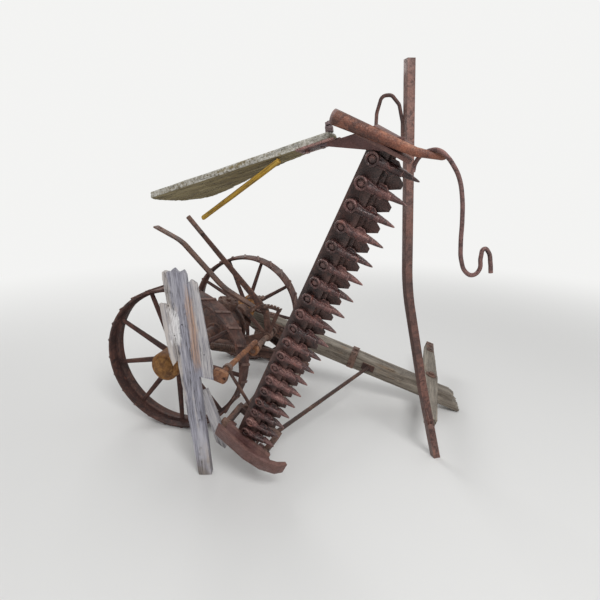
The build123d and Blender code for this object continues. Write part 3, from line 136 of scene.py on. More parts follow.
TIMBER_AXES = axes(TIMBER_FOOT, TIMBER_RIGHT, TIMBER_UP.cross(TIMBER_RIGHT), TIMBER_UP)


# Shader maths

class Wire:
    """A value socket that takes part in Python expressions."""

    def __init__(self, nodes, socket):
        self.nodes = nodes
        self.socket = socket

    def math(self, operation, first, second=None, clamp=False):
        sockets = {0: first}
        if second is not None:
            sockets[1] = second
        made = self.nodes.node("ShaderNodeMath", {"operation": operation, "use_clamp": clamp}, sockets)
        return Wire(self.nodes, made.outputs[0])

    def __add__(self, other):
        return self.math("ADD", self, other)

    def __radd__(self, other):
        return self.math("ADD", other, self)

    def __sub__(self, other):
        return self.math("SUBTRACT", self, other)

    def __rsub__(self, other):
        return self.math("SUBTRACT", other, self)

    def __mul__(self, other):
        return self.math("MULTIPLY", self, other)

    def __rmul__(self, other):
        return self.math("MULTIPLY", other, self)

    def __pow__(self, other):
        return self.math("POWER", self, other)

    def above(self, low, high):
        """0 below `low`, 1 above `high`, smooth between them."""
        made = self.nodes.node(
            "ShaderNodeMapRange",
            {"interpolation_type": "SMOOTHSTEP"},
            {"Value": self, "From Min": low, "From Max": high},
        )
        return Wire(self.nodes, made.outputs[0])

    def below(self, low, high):
        """1 below `low`, 0 above `high`, smooth between them."""
        return 1.0 - self.above(low, high)

    def between(self, low, high, soft):
        """1 from `low` to `high`, fading to 0 over `soft` at each side."""
        return self.above(low - soft, low) * self.below(high, high + soft)

    def size(self):
        return self.math("ABSOLUTE", self)

    def clamped(self):
        return self.math("ADD", self, 0.0, clamp=True)


class Nodes:
    """The nodes of a material or a world, which start empty."""

    def __init__(self, owner):
        owner.use_nodes = True
        self.tree = owner.node_tree
        self.tree.nodes.clear()

    def node(self, kind, settings=None, sockets=None):
        made = self.tree.nodes.new(kind)
        for key, value in (settings or {}).items():
            setattr(made, key, value)
        for key, value in (sockets or {}).items():
            if isinstance(value, Wire):
                value = value.socket
            if isinstance(value, bpy.types.NodeSocket):
                self.tree.links.new(value, made.inputs[key])
            else:
                made.inputs[key].default_value = value
        return made

    def in_view(self):
        """1 for what the camera sees, also in gloss or through glass, and 0 for what only gives light."""
        path = self.node("ShaderNodeLightPath")
        camera = Wire(self, path.outputs["Is Camera Ray"])
        glossy = Wire(self, path.outputs["Is Glossy Ray"])
        through = Wire(self, path.outputs["Is Transmission Ray"])
        return (camera + glossy + through).clamped()


class Finish(Nodes):
    """One material and the maker of its nodes."""

    def __init__(self, name):
        self.material = bpy.data.materials.new(name)
        super().__init__(self.material)

    def place(self, scale=(1, 1, 1), within=None):
        """The piece's coordinates, seen from the axes `within` and divided by `scale`."""
        coordinates = self.node("ShaderNodeTexCoord")
        within = within or Matrix()
        mapped = self.node(
            "ShaderNodeMapping",
            {"vector_type": "TEXTURE"},
            {
                "Vector": coordinates.outputs["Object"],
                "Location": within.translation,
                "Rotation": within.to_euler(),
                "Scale": scale,
            },
        )
        return mapped.outputs[0]

    def parts(self, place):
        """The three parts of a vector."""
        split = self.node("ShaderNodeSeparateXYZ", None, {0: place})
        return [Wire(self, socket) for socket in split.outputs]

    def cloud(self, place, scale, detail=4.0, rough=0.55, distort=0.0):
        made = self.node(
            "ShaderNodeTexNoise",
            None,
            {"Vector": place, "Scale": scale, "Detail": detail, "Roughness": rough, "Distortion": distort},
        )
        return Wire(self, made.outputs["Fac"])

    def pits(self, place, scale):
        made = self.node(
            "ShaderNodeTexVoronoi",
            {"feature": "SMOOTH_F1"},
            {"Vector": place, "Scale": scale, "Smoothness": 0.4},
        )
        return Wire(self, made.outputs["Distance"])

    def cells(self, place, scale):
        """A level for each of the pattern's cells."""
        made = self.node("ShaderNodeTexVoronoi", {"feature": "F1"}, {"Vector": place, "Scale": scale})
        split = self.node("ShaderNodeSeparateColor", None, {"Color": made.outputs["Color"]})
        return Wire(self, split.outputs[0])

    def blend(self, share, first, second):
        """The first colour, with this share of the second."""
        made = self.node(
            "ShaderNodeMix",
            {"data_type": "RGBA", "blend_type": "MIX", "clamp_factor": True},
            {0: share, 6: first, 7: second},
        )
        return made.outputs[2]

    def facing(self, direction):
        """1 where the surface faces that way, 0 where it is square to it, -1 where it faces away."""
        geometry = self.node("ShaderNodeNewGeometry")
        made = self.node(
            "ShaderNodeVectorMath",
            {"operation": "DOT_PRODUCT"},
            {0: geometry.outputs["Normal"], 1: direction},
        )
        return Wire(self, made.outputs["Value"])

    def edge(self):
        """0.5 on a flat face, more on a ridge and less in a crease."""
        geometry = self.node("ShaderNodeNewGeometry")
        return Wire(self, geometry.outputs["Pointiness"])

    def surface(self, colour, rough, bump, depth, metal=0.0):
        """The shader itself, from a colour, a roughness and a relief that is `depth` metres deep."""
        relief = self.node(
            "ShaderNodeBump", None, {"Strength": 1.0, "Distance": depth, "Height": bump}
        )
        shader = self.node(
            "ShaderNodeBsdfPrincipled",
            None,
            {"Base Color": colour, "Roughness": rough, "Metallic": metal, "Normal": relief.outputs[0]},
        )
        self.node("ShaderNodeOutputMaterial", None, {"Surface": shader.outputs[0]})
        return self.material


def rgb(red, green, blue):
    """A colour as seen on a screen, from 0 to 255, as the shader's own numbers."""
    levels = []
    for level in (red, green, blue):
        level = level / 255
        levels.append(level / 12.92 if level <= 0.04045 else ((level + 0.055) / 1.055) ** 2.4)
    return (*levels, 1.0)


# Rusted iron: name, deep, main, warm and pale colours, then the share of warm rust,
# the share of pale dust and painted sheen and the least roughness
RUSTS = (
    ("bar_rust", (36, 21, 22), (88, 52, 50), (128, 72, 58), (204, 160, 150), 0.42, 0.66, 0.28),
    ("knife_steel", (30, 20, 20), (64, 41, 38), (106, 64, 52), (140, 108, 100), 0.38, 0.35, 0.44),
    ("shoe_rust", (66, 36, 30), (126, 74, 57), (156, 95, 70), (212, 168, 142), 0.50, 0.60, 0.36),
    ("wheel_rust", (46, 28, 26), (88, 57, 50), (124, 78, 62), (158, 130, 118), 0.40, 0.50, 0.60),
    ("hub_rust", (96, 60, 28), (156, 110, 60), (180, 134, 72), (182, 156, 112), 0.50, 0.35, 0.66),
    ("stay_rust", (54, 34, 32), (112, 74, 64), (142, 94, 74), (188, 148, 136), 0.40, 0.45, 0.50),
    ("rod_rust", (38, 24, 25), (78, 49, 47), (112, 68, 58), (190, 146, 138), 0.35, 0.45, 0.42),
    ("orange_rust", (88, 54, 40), (146, 98, 68), (176, 116, 76), (190, 156, 124), 0.55, 0.40, 0.66),
    ("rusty_cast", (48, 32, 29), (92, 63, 54), (132, 84, 62), (164, 136, 120), 0.42, 0.50, 0.56),
)

# Nodes whose rust isn't the one that their slot names
OTHER_RUST = {"hook_rod": "rod_rust", "board_bracket": "bar_rust", "cutter_bar": "knife_steel"}

# The stay's side that faces this way is painted in shade, and the stay is darker between two heights with
# soft ends, in metres
STAY_SHADED_SIDE = (-0.87, -0.49, 0.0)
STAY_SHADE = (0.75, 1.30, 0.2)

# Weathered wood: name, dark grain, main, pale grain, stain, its share, lichen share
WOODS = {
    "grey_timber": ((102, 100, 108), (156, 155, 166), (196, 194, 200), (178, 160, 142), 0.20, 0.04),
    "board_wood": ((82, 70, 50), (132, 118, 82), (160, 148, 112), (104, 86, 54), 0.30, 0.90),
    "stick_wood": ((122, 88, 26), (190, 150, 48), (216, 182, 90), (134, 98, 40), 0.30, 0.03),
    "pole_wood": ((74, 66, 58), (128, 118, 106), (168, 158, 144), (122, 92, 60), 0.30, 0.12),
}


def rust(name, deep, main, warm, pale, warm_share, dust_and_sheen_share, least_rough):
    """Scaled, pitted rust, with painted shade in its creases, rubbed wear and a painted highlight on its
    ridges, and dust with a painted sheen where it faces up.
    """
    made = Finish(name + "_finish")
    even = made.place()
    drip = made.place(scale=(1, 1, 5))
    patches = made.cloud(even, 9.0, 6.0, 0.62)
    blotches = made.cloud(even, 46.0, 8.0, 0.66, 0.6)
    grains = made.cloud(even, 260.0, 6.0, 0.7)
    streaks = made.cloud(drip, 34.0, 5.0, 0.6)
    scale = made.pits(even, 170.0)
    flakes = made.cells(even, 95.0)
    colour = made.blend((patches * 0.55 + blotches * 0.45).above(0.40, 0.60), rgb(*deep), rgb(*main))
    bloom = (blotches * 0.6 + streaks * 0.4).above(0.60 - 0.18 * warm_share, 0.74 - 0.1 * warm_share)
    colour = made.blend(bloom * 0.85, colour, rgb(*warm))
    colour = made.blend(flakes.above(0.62, 1.0) * 0.22, colour, rgb(*deep))
    colour = made.blend(grains.above(0.56, 0.70) * 0.45, colour, rgb(*warm))
    if name == "wheel_rust":
        x, _, z = made.parts(even)
        reach = ((x + CENTRE.x) ** 2.0 + (z - WHEEL_R) ** 2.0) ** 0.5
        ochre = made.blend(blotches.above(0.40, 0.62), rgb(120, 78, 38), rgb(164, 116, 60))
        colour = made.blend((reach + (patches - 0.5) * 0.01).below(DRUM_R, DRUM_R + 0.006), colour, ochre)
    if name == "shoe_rust":
        arms = shoe_arms(made, patches)
        dust_and_sheen_share = dust_and_sheen_share * (1.0 - arms * 0.8)
        colour = made.blend(arms, colour, made.blend(blotches, rgb(40, 26, 27), rgb(122, 82, 78)))
        colour = made.blend(heel_dish(made, patches) * 0.7, colour, rgb(112, 102, 108))
    if name == "stay_rust":
        # Painted shade on the stay's side facing left, and darker between two heights
        left = made.facing(STAY_SHADED_SIDE).above(0.3, 0.6)
        _, _, height = made.parts(even)
        colour = made.blend(left * 0.7 + height.between(*STAY_SHADE) * 0.3, colour, rgb(*deep))
    speckles = made.cloud(even, 420.0, 3.0, 0.6)
    colour = made.blend(speckles.below(0.36, 0.46) * 0.55, colour, rgb(*deep))
    colour = made.blend(speckles.above(0.58, 0.68) * 0.35 * dust_and_sheen_share, colour, rgb(*pale))
    edge = made.edge()
    # Painted shade: creases darken to the deep colour
    colour = made.blend(edge.below(0.40, 0.49) * 0.85, colour, rgb(*deep))
    # Rubbed wear with a painted highlight: ridges turn pale
    rubbed_and_highlight = edge.above(0.51, 0.58) * (blotches * 0.5 + grains * 0.5).above(0.38, 0.54)
    # Dust with a painted sheen: surfaces facing up turn pale
    up = made.facing((0, 0, 1)).above(0.1, 0.9)
    dust_and_sheen = (up * 0.8 + 0.2) * (grains * 0.5 + patches * 0.5).above(0.48, 0.64)
    colour = made.blend((rubbed_and_highlight * 0.7 + dust_and_sheen).clamped() * dust_and_sheen_share, colour, rgb(*pale))
    rough = (least_rough + 0.34 * patches.above(0.35, 0.65)) + (grains - 0.5) * 0.3 - rubbed_and_highlight * 0.08
    relief = patches * 0.4 + blotches * 0.9 + grains * 0.5 + scale * 0.6 + flakes * 0.12
    return made.surface(colour, rough.clamped(), relief, RUST_RELIEF, metal=0.15)


def shoe_arms(made, patches):
    """1 on the shoes' dark arms and plates, 0 on the outer shoe's trough and nose."""
    x, y, z = made.parts(made.place(within=BAR_AXES))
    along = x - SOLE_HEEL
    aside = y + BAR_LENGTH + SOLE_OFFSET + along * SOLE_SLOPE
    beneath = z - SOLE_DEPTH - along * SOLE_RISE
    reach = (aside ** 2.0 + beneath ** 2.0) ** 0.5 + along * SOLE_TAPER + (patches - 0.5) * 0.001
    outer = reach.above(*SOLE_EDGE) * x.below(*ARM_FRONT)
    return (outer + y.above(*INNER_SHOE)).clamped()


def heel_dish(made, patches):
    """1 on the worn back end of the outer shoe's trough."""
    x, _, _ = made.parts(made.place(within=BAR_AXES))
    return (x + (patches - 0.5) * 0.012).below(*HEEL_WEAR)


def wood(name, kind, within):
    """Bare weathered wood whose grain runs along z of the axes `within`."""
    dark, main, pale, stain, stain_share, lichen_share = WOODS[kind]
    made = Finish(name)
    even = made.place(within=within)
    along = made.place(scale=(1, 1, 26), within=within)
    stripe = made.place(scale=(1, 1, 12), within=within)
    grain = made.cloud(along, 260.0, 8.0, 0.66, 0.3)
    fibre = made.cloud(along, 700.0, 6.0, 0.7)
    bands = made.cloud(stripe, 34.0, 5.0, 0.55, 0.4)
    patches = made.cloud(even, 7.0, 5.0, 0.6)
    crack_line = made.cloud(along, 70.0, 7.0, 0.55, 0.2)
    cracks = (1.0 - (crack_line - 0.5).size().above(0.003, 0.012)) * patches.above(0.42, 0.56)
    colour = made.blend(grain.above(0.34, 0.64), rgb(*dark), rgb(*main))
    colour = made.blend(bands.above(0.46, 0.68) * 0.6, colour, rgb(*pale))
    colour = made.blend(fibre.above(0.52, 0.72) * 0.35, colour, rgb(*pale))
    tint = (bands * 0.5 + patches * 0.5).above(0.54, 0.64)
    colour = made.blend(tint * stain_share * 2.0, colour, rgb(*stain))
    if kind == "grey_timber":
        colour = timber_stains(made, colour, grain, patches)
    colour = made.blend(cracks * 0.8, colour, rgb(58, 50, 46))
    spots = made.cloud(even, 120.0, 6.0, 0.7)
    bare = made.facing((0, 0, 1)).above(0.0, 0.45)
    if kind == "board_wood":
        bare = (bare + made.facing(BOARD_AXES.to_3x3().col[2]).above(0.5, 0.8)).clamped()
    tufts = made.cloud(even, 70.0, 5.0, 0.6)
    lichen = (spots * 0.25 + tufts * 0.35 + bands * 0.40).above(0.38, 0.52) * bare * lichen_share
    crust = made.blend(spots.above(0.4, 0.6), rgb(164, 161, 150), rgb(206, 203, 196))
    colour = made.blend(lichen, colour, crust)
    relief = grain * 0.6 + fibre * 0.25 + bands * 0.3 - cracks * 1.4 + lichen * spots
    return made.surface(colour, 0.86, relief, WOOD_RELIEF)


# Stains of the leaning timber, in metres to its right, along it or into it.
# Two numbers are where the stain begins to fade and where it has ended, and a third is how soft its edges are
TAN_RIGHT = (0.036, 0.056, 0.014)
TAN_HEIGHT = (0.62, 0.84, 0.10)
BLEACHED_RIGHT = (-0.034, -0.022)
BLEACHED_HEIGHT = (0.30, 0.50)
BARE_RIGHT = (-0.046, -0.014, 0.010)
BARE_HEIGHT = (0.72, 0.84, 0.03)
SIDE_RIGHT = (0.056, 0.070)
SIDE_HEIGHT = (0.50, 0.52)
BACK_DEPTH = (0.034, 0.040)
EARTH_HEIGHT = (0.02, 0.16)


def timber_stains(made, colour, grain, patches):
    """The timber's tan run, bleached left side and bare patch, its pale side boards and its earthy foot."""
    right, across, height = made.parts(made.place(within=TIMBER_AXES))
    wave = patches - 0.5
    run = (right + wave * 0.06).between(*TAN_RIGHT) * (height + wave * 0.3).between(*TAN_HEIGHT)
    colour = made.blend(run * grain.above(0.30, 0.66) * 0.85, colour, rgb(184, 142, 106))
    left = (right + wave * 0.05).below(*BLEACHED_RIGHT) * height.above(*BLEACHED_HEIGHT)
    colour = made.blend(left * grain.above(0.30, 0.60) * 0.7, colour, rgb(198, 188, 176))
    patch = (right + wave * 0.09).between(*BARE_RIGHT) * (height + wave * 0.2).between(*BARE_HEIGHT)
    colour = made.blend(patch * grain.above(0.24, 0.5) * 0.9, colour, rgb(228, 226, 226))
    beside = right.above(*SIDE_RIGHT) * height.above(*SIDE_HEIGHT) + across.above(*BACK_DEPTH)
    colour = made.blend(beside.clamped() * grain.above(0.34, 0.60) * 0.5, colour, rgb(196, 190, 182))
    earth = height.below(*EARTH_HEIGHT) * patches.above(0.35, 0.6) * 0.6
    return made.blend(earth, colour, rgb(112, 98, 80))


# Working on meshes

def deselect():
    """Leaves edit mode and selects nothing."""
    if bpy.context.object and bpy.context.object.mode != "OBJECT":
        bpy.ops.object.mode_set(mode="OBJECT")
    bpy.ops.object.select_all(action="DESELECT")


def pick(piece):
    """Makes the piece the only one selected, and active."""
    deselect()
    piece.select_set(True)
    bpy.context.view_layer.objects.active = piece


def pick_faces(piece, wanted):
    """Opens the piece in edit mode with those faces selected for which `wanted` holds."""
    pick(piece)
    bpy.context.tool_settings.mesh_select_mode = (False, False, True)
    bpy.ops.object.mode_set(mode="EDIT")
    bpy.ops.mesh.select_all(action="DESELECT")
    bpy.ops.object.mode_set(mode="OBJECT")
    for face in piece.data.polygons:
        face.select = wanted(face)
    bpy.ops.object.mode_set(mode="EDIT")


def modify(piece, kind, **settings):
    """Adds one modifier and applies it."""
    pick(piece)
    modifier = piece.modifiers.new(kind.title(), kind)
    for key, value in settings.items():
        setattr(modifier, key, value)
    bpy.ops.object.modifier_apply(modifier=modifier.name)


def join(pieces, name):
    """Joins meshes into one piece."""
    deselect()
    for piece in pieces:
        piece.select_set(True)
    bpy.context.view_layer.objects.active = pieces[0]
    if len(pieces) > 1:
        bpy.ops.object.join()
    whole = bpy.context.object
    whole.name = name
    whole.data.name = name
    return whole


def settle(piece, place=None):
    """Moves the piece to these axes and puts its place into its mesh."""
    pick(piece)
    if place is not None:
        piece.matrix_world = place
    bpy.ops.object.transform_apply(location=True, rotation=True, scale=True)
    return piece


def close_up(piece):
    """Merges doubles, fills open ends and points all faces outwards."""
    pick(piece)
    bpy.ops.object.mode_set(mode="EDIT")
    bpy.ops.mesh.select_all(action="SELECT")
    bpy.ops.mesh.remove_doubles(threshold=0.00001)
    bpy.ops.mesh.fill_holes(sides=0)
    bpy.ops.mesh.select_all(action="SELECT")
    bpy.ops.mesh.normals_make_consistent(inside=False)
    bpy.ops.object.mode_set(mode="OBJECT")
    return piece


def smooth(piece, angle=40.0):
    pick(piece)
    bpy.ops.object.shade_smooth_by_angle(angle=math.radians(angle))


def copy_of(node):
    """A copy of a CAD node's mesh with its doubles merged and its flat faces whole."""
    piece = bpy.data.objects.new(node + "_worn", NODES[node].data.copy())
    bpy.context.scene.collection.objects.link(piece)
    pick(piece)
    bpy.ops.object.mode_set(mode="EDIT")
    bpy.ops.mesh.select_all(action="SELECT")
    bpy.ops.mesh.remove_doubles(threshold=0.00001)
    bpy.ops.mesh.dissolve_limited(angle_limit=math.radians(1.0))
    bpy.ops.object.mode_set(mode="OBJECT")
    return piece


def wear(piece, edge):
    """Rounds the piece's edges by `edge` metres."""
    modify(
        piece, "BEVEL", width=edge, segments=2, limit_method="ANGLE",
        angle_limit=math.radians(32.0), use_clamp_overlap=True,
    )
    smooth(piece)
    return piece


def body_of(node):
    for body, members in frame["record"]["behaviour"]["bodies"].items():
        if node in members:
            return body
    raise ValueError(node)


def slot_of(node):
    for row in frame["record"]["subparts"]:
        if row["node"] == node:
            return row["material_slot"]
    raise ValueError(node)


def cover(piece, material):
    """Gives the piece one material all over."""
    piece.data.materials.clear()
    piece.data.materials.append(material)


def coat(piece, node):
    """Covers a piece, or the node itself, with the node's rust."""
    cover(piece, bpy.data.materials[OTHER_RUST.get(node, slot_of(node)) + "_finish"])


def stand_for(piece, node):
    """Stands the piece in for the node: hides the node and puts the piece on the node's body."""
    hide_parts(node)
    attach(piece, body_of(node))


def put_iron(piece, node):
    """Puts an iron piece in the node's place and coats it with the node's rust."""
    coat(piece, node)
    stand_for(piece, node)


# Wood

# Widths of the grooves along the grain and of the splits at the ends in metres, and how drawn out they are
GROOVE_WIDTH = 0.010
GROOVE_STRETCH = 14.0
SPLIT_WIDTH = 0.016
SPLIT_STRETCH = 400.0

# A split reaches into the wood by three times its depth and this much more, in metres
SPLIT_REACH = 0.01

# Where the pattern of grooves is centred beside the grain's start, in metres
PATTERN_PLACE = (0.013, 0.007, 0.0)

# Wooden nodes: node, voxel, groove depth, split depth at the upper and at the lower end, in millimetres
WOODEN = (
    ("timber_main", 3.5, 1.8, 4.0, 0.0),
    ("timber_boards", 3.0, 1.6, 5.0, 3.0),
    ("tongue", 6.0, 2.6, 3.0, 24.0),
    ("evener", 5.0, 2.0, 4.0, 4.0),
    ("swath_board", 4.0, 2.4, 8.0, 8.0),
    ("grass_stick", 2.5, 1.2, 6.0, 6.0),
    ("pitman", 4.0, 1.0, 2.0, 2.0),
)

# Nail holes in the leaning timber: millimetres to the right, along it, radius
NAIL_HOLES = ((-45, 868, 4.0), (3, 776, 4.5), (-38, 728, 4.0), (81, 625, 4.0), (16, 300, 4.5))

# A nail's tip radius, its length, how deep its middle sits and how near wood has to be, in metres
NAIL_TIP = 0.0016
NAIL_LENGTH = 0.028
NAIL_SINK = 0.008
NAIL_NEAR = 0.012


def grain_axes(piece):
    """Axes with z along the piece's longest edge, pointing up, from that edge's lower end."""
    points = piece.data.vertices
    ends = [(points[edge.vertices[0]].co, points[edge.vertices[1]].co) for edge in piece.data.edges]
    low, high = sorted(max(ends, key=lambda pair: (pair[1] - pair[0]).length), key=lambda point: point.z)
    turn = (high - low).to_track_quat("Z", "Y").to_matrix().to_4x4()
    return Matrix.Translation(low) @ turn


def end_group(piece, side, reach):
    """A vertex group that grows to full over the last `reach` metres at one end of the piece's z."""
    points = piece.data.vertices
    end = max(side * point.co.z for point in points)
    group = piece.vertex_groups.new(name="end")
    for point in points:
        share = 1 - (end - side * point.co.z) / reach
        if share > 0:
            group.add([point.index], share, "REPLACE")
    return group


def fibres(size):
    """A cloud texture that pushes points about."""
    made = bpy.data.textures.new("fibres", "CLOUDS")
    made.noise_scale = size
    made.noise_depth = 3
    made.contrast = 1.7
    return made


def stretched(length):
    """An empty that stretches a texture along z."""
    deselect()
    bpy.ops.object.empty_add(location=PATTERN_PLACE)
    made = bpy.context.object
    made.scale = (1, 1, length)
    bpy.context.view_layer.update()
    return made


def weather(piece, voxel, groove, head, foot):
    """Wears a piece of wood: grooves along its grain, soft edges, and split ends."""
    grain = grain_axes(piece)
    settle(piece, grain.inverted())
    modify(piece, "REMESH", mode="VOXEL", voxel_size=voxel)
    along = stretched(GROOVE_STRETCH)
    modify(
        piece, "DISPLACE", texture=fibres(GROOVE_WIDTH), texture_coords="OBJECT",
        texture_coords_object=along, strength=groove, mid_level=0.80,
    )
    ends = stretched(SPLIT_STRETCH)
    for side, depth in ((1, head), (-1, foot)):
        if depth == 0:
            continue
        group = end_group(piece, side, depth * 3 + SPLIT_REACH)
        modify(
            piece, "DISPLACE", texture=fibres(SPLIT_WIDTH), texture_coords="OBJECT",
            texture_coords_object=ends, direction="Z", strength=-side * depth, mid_level=0.1,
            vertex_group=group.name,
        )
        piece.vertex_groups.clear()
    bpy.data.objects.remove(along)
    bpy.data.objects.remove(ends)
    settle(piece, grain)
    pick(piece)
    bpy.ops.object.shade_smooth()
    return grain


def loose_parts(piece):
    """The separate boards of a piece."""
    pick(piece)
    bpy.ops.object.mode_set(mode="EDIT")
    bpy.ops.mesh.select_all(action="SELECT")
    bpy.ops.mesh.separate(type="LOOSE")
    bpy.ops.object.mode_set(mode="OBJECT")
    return list(bpy.context.selected_objects)


def pierce(board):
    """Sinks tapered nail holes into the front of one of the timber's boards."""
    points = [TIMBER_AXES.inverted() @ point.co for point in board.data.vertices]
    front = min(point.y for point in points)
    for right, height, radius in NAIL_HOLES:
        place = Vector((right / 1000, front, height / 1000))
        if not any((point - place).length < NAIL_NEAR for point in points):
            continue
        deselect()
        bpy.ops.mesh.primitive_cone_add(
            vertices=14, radius1=radius / 1000, radius2=NAIL_TIP, depth=NAIL_LENGTH,
            rotation=(math.radians(-90), 0, 0),
        )
        cutter = settle(bpy.context.object)
        cutter = settle(cutter, TIMBER_AXES @ Matrix.Translation(place + Vector((0, NAIL_SINK, 0))))
        modify(board, "BOOLEAN", object=cutter, operation="DIFFERENCE", solver="EXACT")
        bpy.data.objects.remove(cutter)


# Springs

# Wound springs: node, edge wear, coil, wire and rod radius in millimetres, turns
SPRINGS = (
    ("lift_spring", 1.5, 25.0, 5.0, 6.2, 14),
    ("spring_bolt", 0.8, 12.5, 2.3, 5.2, 4),
)

# The balance spring lies midway between its clip and its crank, in the frame's axes, in metres
CLIP_PLACE = Vector((0.064, -0.354, 0.036))
CRANK_PLACE = Vector((0.328, -0.354, 0.112))
BALANCE_LENGTH = 0.180

# The bolt's spring stands on the swath board, in the board's axes, in metres
BOLT_PLACE = Vector((0.014, -0.0003, -0.022))
BOLT_REACH = Vector((0, -0.022, 0))

# Room round a spring's rings, beside and past them, and how much longer the rod inside is, in metres
RING_SIDE = 0.001
RING_END = 0.0005
ROD_EXTRA = 0.012


def spring_ends(node):
    """Where the node's spring starts and ends."""
    if node == "spring_bolt":
        return BOARD_AXES @ BOLT_PLACE, BOARD_AXES @ (BOLT_PLACE + BOLT_REACH)
    clip = FRAME_AXES @ CLIP_PLACE
    crank = FRAME_AXES @ CRANK_PLACE
    middle = (clip + crank) / 2
    half = (crank - clip).normalized() * (BALANCE_LENGTH / 2)
    return middle - half, middle + half


def helix(radius, wire, length, turns):
    """A wire wound round z, from z = 0."""
    deselect()
    bpy.ops.mesh.primitive_circle_add(
        vertices=10, radius=wire, location=(radius - wire, 0, wire), rotation=(math.radians(90), 0, 0)
    )
    coil = settle(bpy.context.object)
    modify(
        coil, "SCREW", axis="Z", angle=2 * math.pi, screw_offset=(length - 2 * wire) / turns,
        iterations=turns, steps=20, render_steps=20, use_merge_vertices=False,
    )
    return close_up(coil)


def wound(piece, start, end, radius, wire, core, turns):
    """Swaps the rings between two places on a piece for a wire wound round a rod."""
    line = end - start
    run = line.normalized()

    def on_rings(face):
        offset = face.center - start
        along = offset.dot(run)
        beside = (offset - run * along).length < radius + RING_SIDE
        return beside and -RING_END < along < line.length + RING_END

    pick_faces(piece, on_rings)
    bpy.ops.mesh.delete(type="FACE")
    bpy.ops.object.mode_set(mode="OBJECT")
    turn = run.to_track_quat("Z", "Y").to_matrix().to_4x4()
    coil = settle(helix(radius, wire, line.length, turns), Matrix.Translation(start) @ turn)
    smooth(coil, 60.0)
    deselect()
    bpy.ops.mesh.primitive_cylinder_add(vertices=16, radius=core, depth=line.length + ROD_EXTRA)
    rod = wear(settle(bpy.context.object), core * 0.3)
    rod = settle(rod, Matrix.Translation((start + end) / 2) @ turn)
    return join([piece, coil, rod], piece.name)


# Worn iron

# Nodes whose edges are worn round: node, edge radius in millimetres
WORN = (
    ("gear_case", 3.0), ("gear_case_lid", 2.0), ("axle_tubes", 2.0), ("frame_arm_right", 2.5),
    ("frame_arm_left", 2.5), ("crank_case", 3.0), ("flywheel", 2.5), ("hinge_yoke", 3.0),
    ("hinge_pins", 1.0), ("quadrant", 1.5), ("hand_lever", 2.0), ("foot_lever", 1.5), ("lift_arm", 2.0),
    ("tongue_bearing", 1.5), ("pitman_irons", 1.0), ("inner_shoe", 2.5), ("outer_shoe", 2.5),
    ("guard_bolts", 1.2), ("knife_back", 1.0), ("knife_sections", 0.4), ("hold_down_clips", 1.0),
    ("board_bracket", 1.0), ("wheel_right", 2.0), ("wheel_left", 2.0), ("hub_cap_right", 1.5),
    ("hub_cap_left", 1.5), ("tongue_irons", 1.0), ("evener_irons", 1.0), ("stay_bar", 1.2),
    ("stay_bolt", 1.0), ("seat_spring", 1.5),
)


# Cutter bar

def forged_guard():
    """The outermost guard in the bar's axes, its eye, neck and finger rounded as forged."""
    guards = loose_parts(settle(copy_of("guards"), BAR_AXES.inverted()))
    guards.sort(key=lambda piece: min(point.co.y for point in piece.data.vertices))
    guard = guards[0]
    for other in guards[1:]:
        bpy.data.objects.remove(other)
    y = -GUARD_FIRST * PITCH
    deselect()
    bpy.ops.mesh.primitive_torus_add(
        major_segments=32, minor_segments=12, major_radius=EYE_RADIUS, minor_radius=EYE_THICKNESS,
        location=(0, y, EYE_HEIGHT),
    )
    eye = settle(bpy.context.object)
    start = Vector((NECK_START[0], y, NECK_START[1]))
    end = Vector((NECK_END[0], y, NECK_END[1]))
    small, large = NECK_RADII
    deselect()
    bpy.ops.mesh.primitive_cone_add(vertices=24, radius1=small, radius2=large, depth=(end - start).length)
    turn = (end - start).to_track_quat("Z", "Y").to_matrix().to_4x4()
    neck = settle(bpy.context.object, Matrix.Translation((start + end) / 2) @ turn)
    guard = join([guard, eye, neck], "guard")
    modify(guard, "REMESH", mode="VOXEL", voxel_size=GUARD_VOXEL)
    modify(guard, "SMOOTH", factor=0.5, iterations=4)
    modify(guard, "DISPLACE", texture=fibres(FORGED_GRAIN), strength=FORGED_DEPTH, mid_level=0.5)
    modify(guard, "DECIMATE", ratio=0.28)
    return guard


def guard_row():
    """All the guards in a row, copied from one."""
    first = forged_guard()
    row = []
    for number in range(GUARD_COUNT):
        guard = bpy.data.objects.new("guard", first.data.copy())
        bpy.context.scene.collection.objects.link(guard)
        row.append(settle(guard, BAR_AXES @ Matrix.Translation((0, number * PITCH, 0))))
    bpy.data.objects.remove(first)
    whole = join(row, "guards_worn")
    pick(whole)
    bpy.ops.object.shade_smooth()
    return whole


def packed_bar():
    """The flat bar, its front edge grown with scale up to the knife."""
    piece = copy_of("cutter_bar")
    bar = BAR_AXES.inverted()
    forward = BAR_AXES.to_3x3().col[0]

    def at_front(face):
        return face.normal.dot(forward) > 0.9 and (bar @ face.center).x > BAR_FRONT - 0.001

    pick_faces(piece, at_front)
    bpy.ops.transform.translate(value=forward * SCALE_GROWTH)
    bpy.ops.object.mode_set(mode="OBJECT")
    return wear(piece, BAR_WEAR)


# Hooked rod

HOOK_RADIUS = 0.006

# Its route from its far end to its curl: millimetres to the right of the shoe's nose, away and up
HOOK_ROUTE = (
    (-74, 46, -34), (-70, 44, -12), (-58, 34, 8), (-38, 14, 20), (-20, -6, 17), (-3, -17, 1), (13, -22, -21),
    (28, -25, -50), (39, -27, -96), (44, -29, -155), (46, -29, -220), (52, -28, -263), (67, -28, -294),
    (86, -28, -302), (102, -28, -288), (103, -28, -252), (110, -28, -231), (122, -28, -240), (130, -28, -268),
    (134, -28, -296),
)


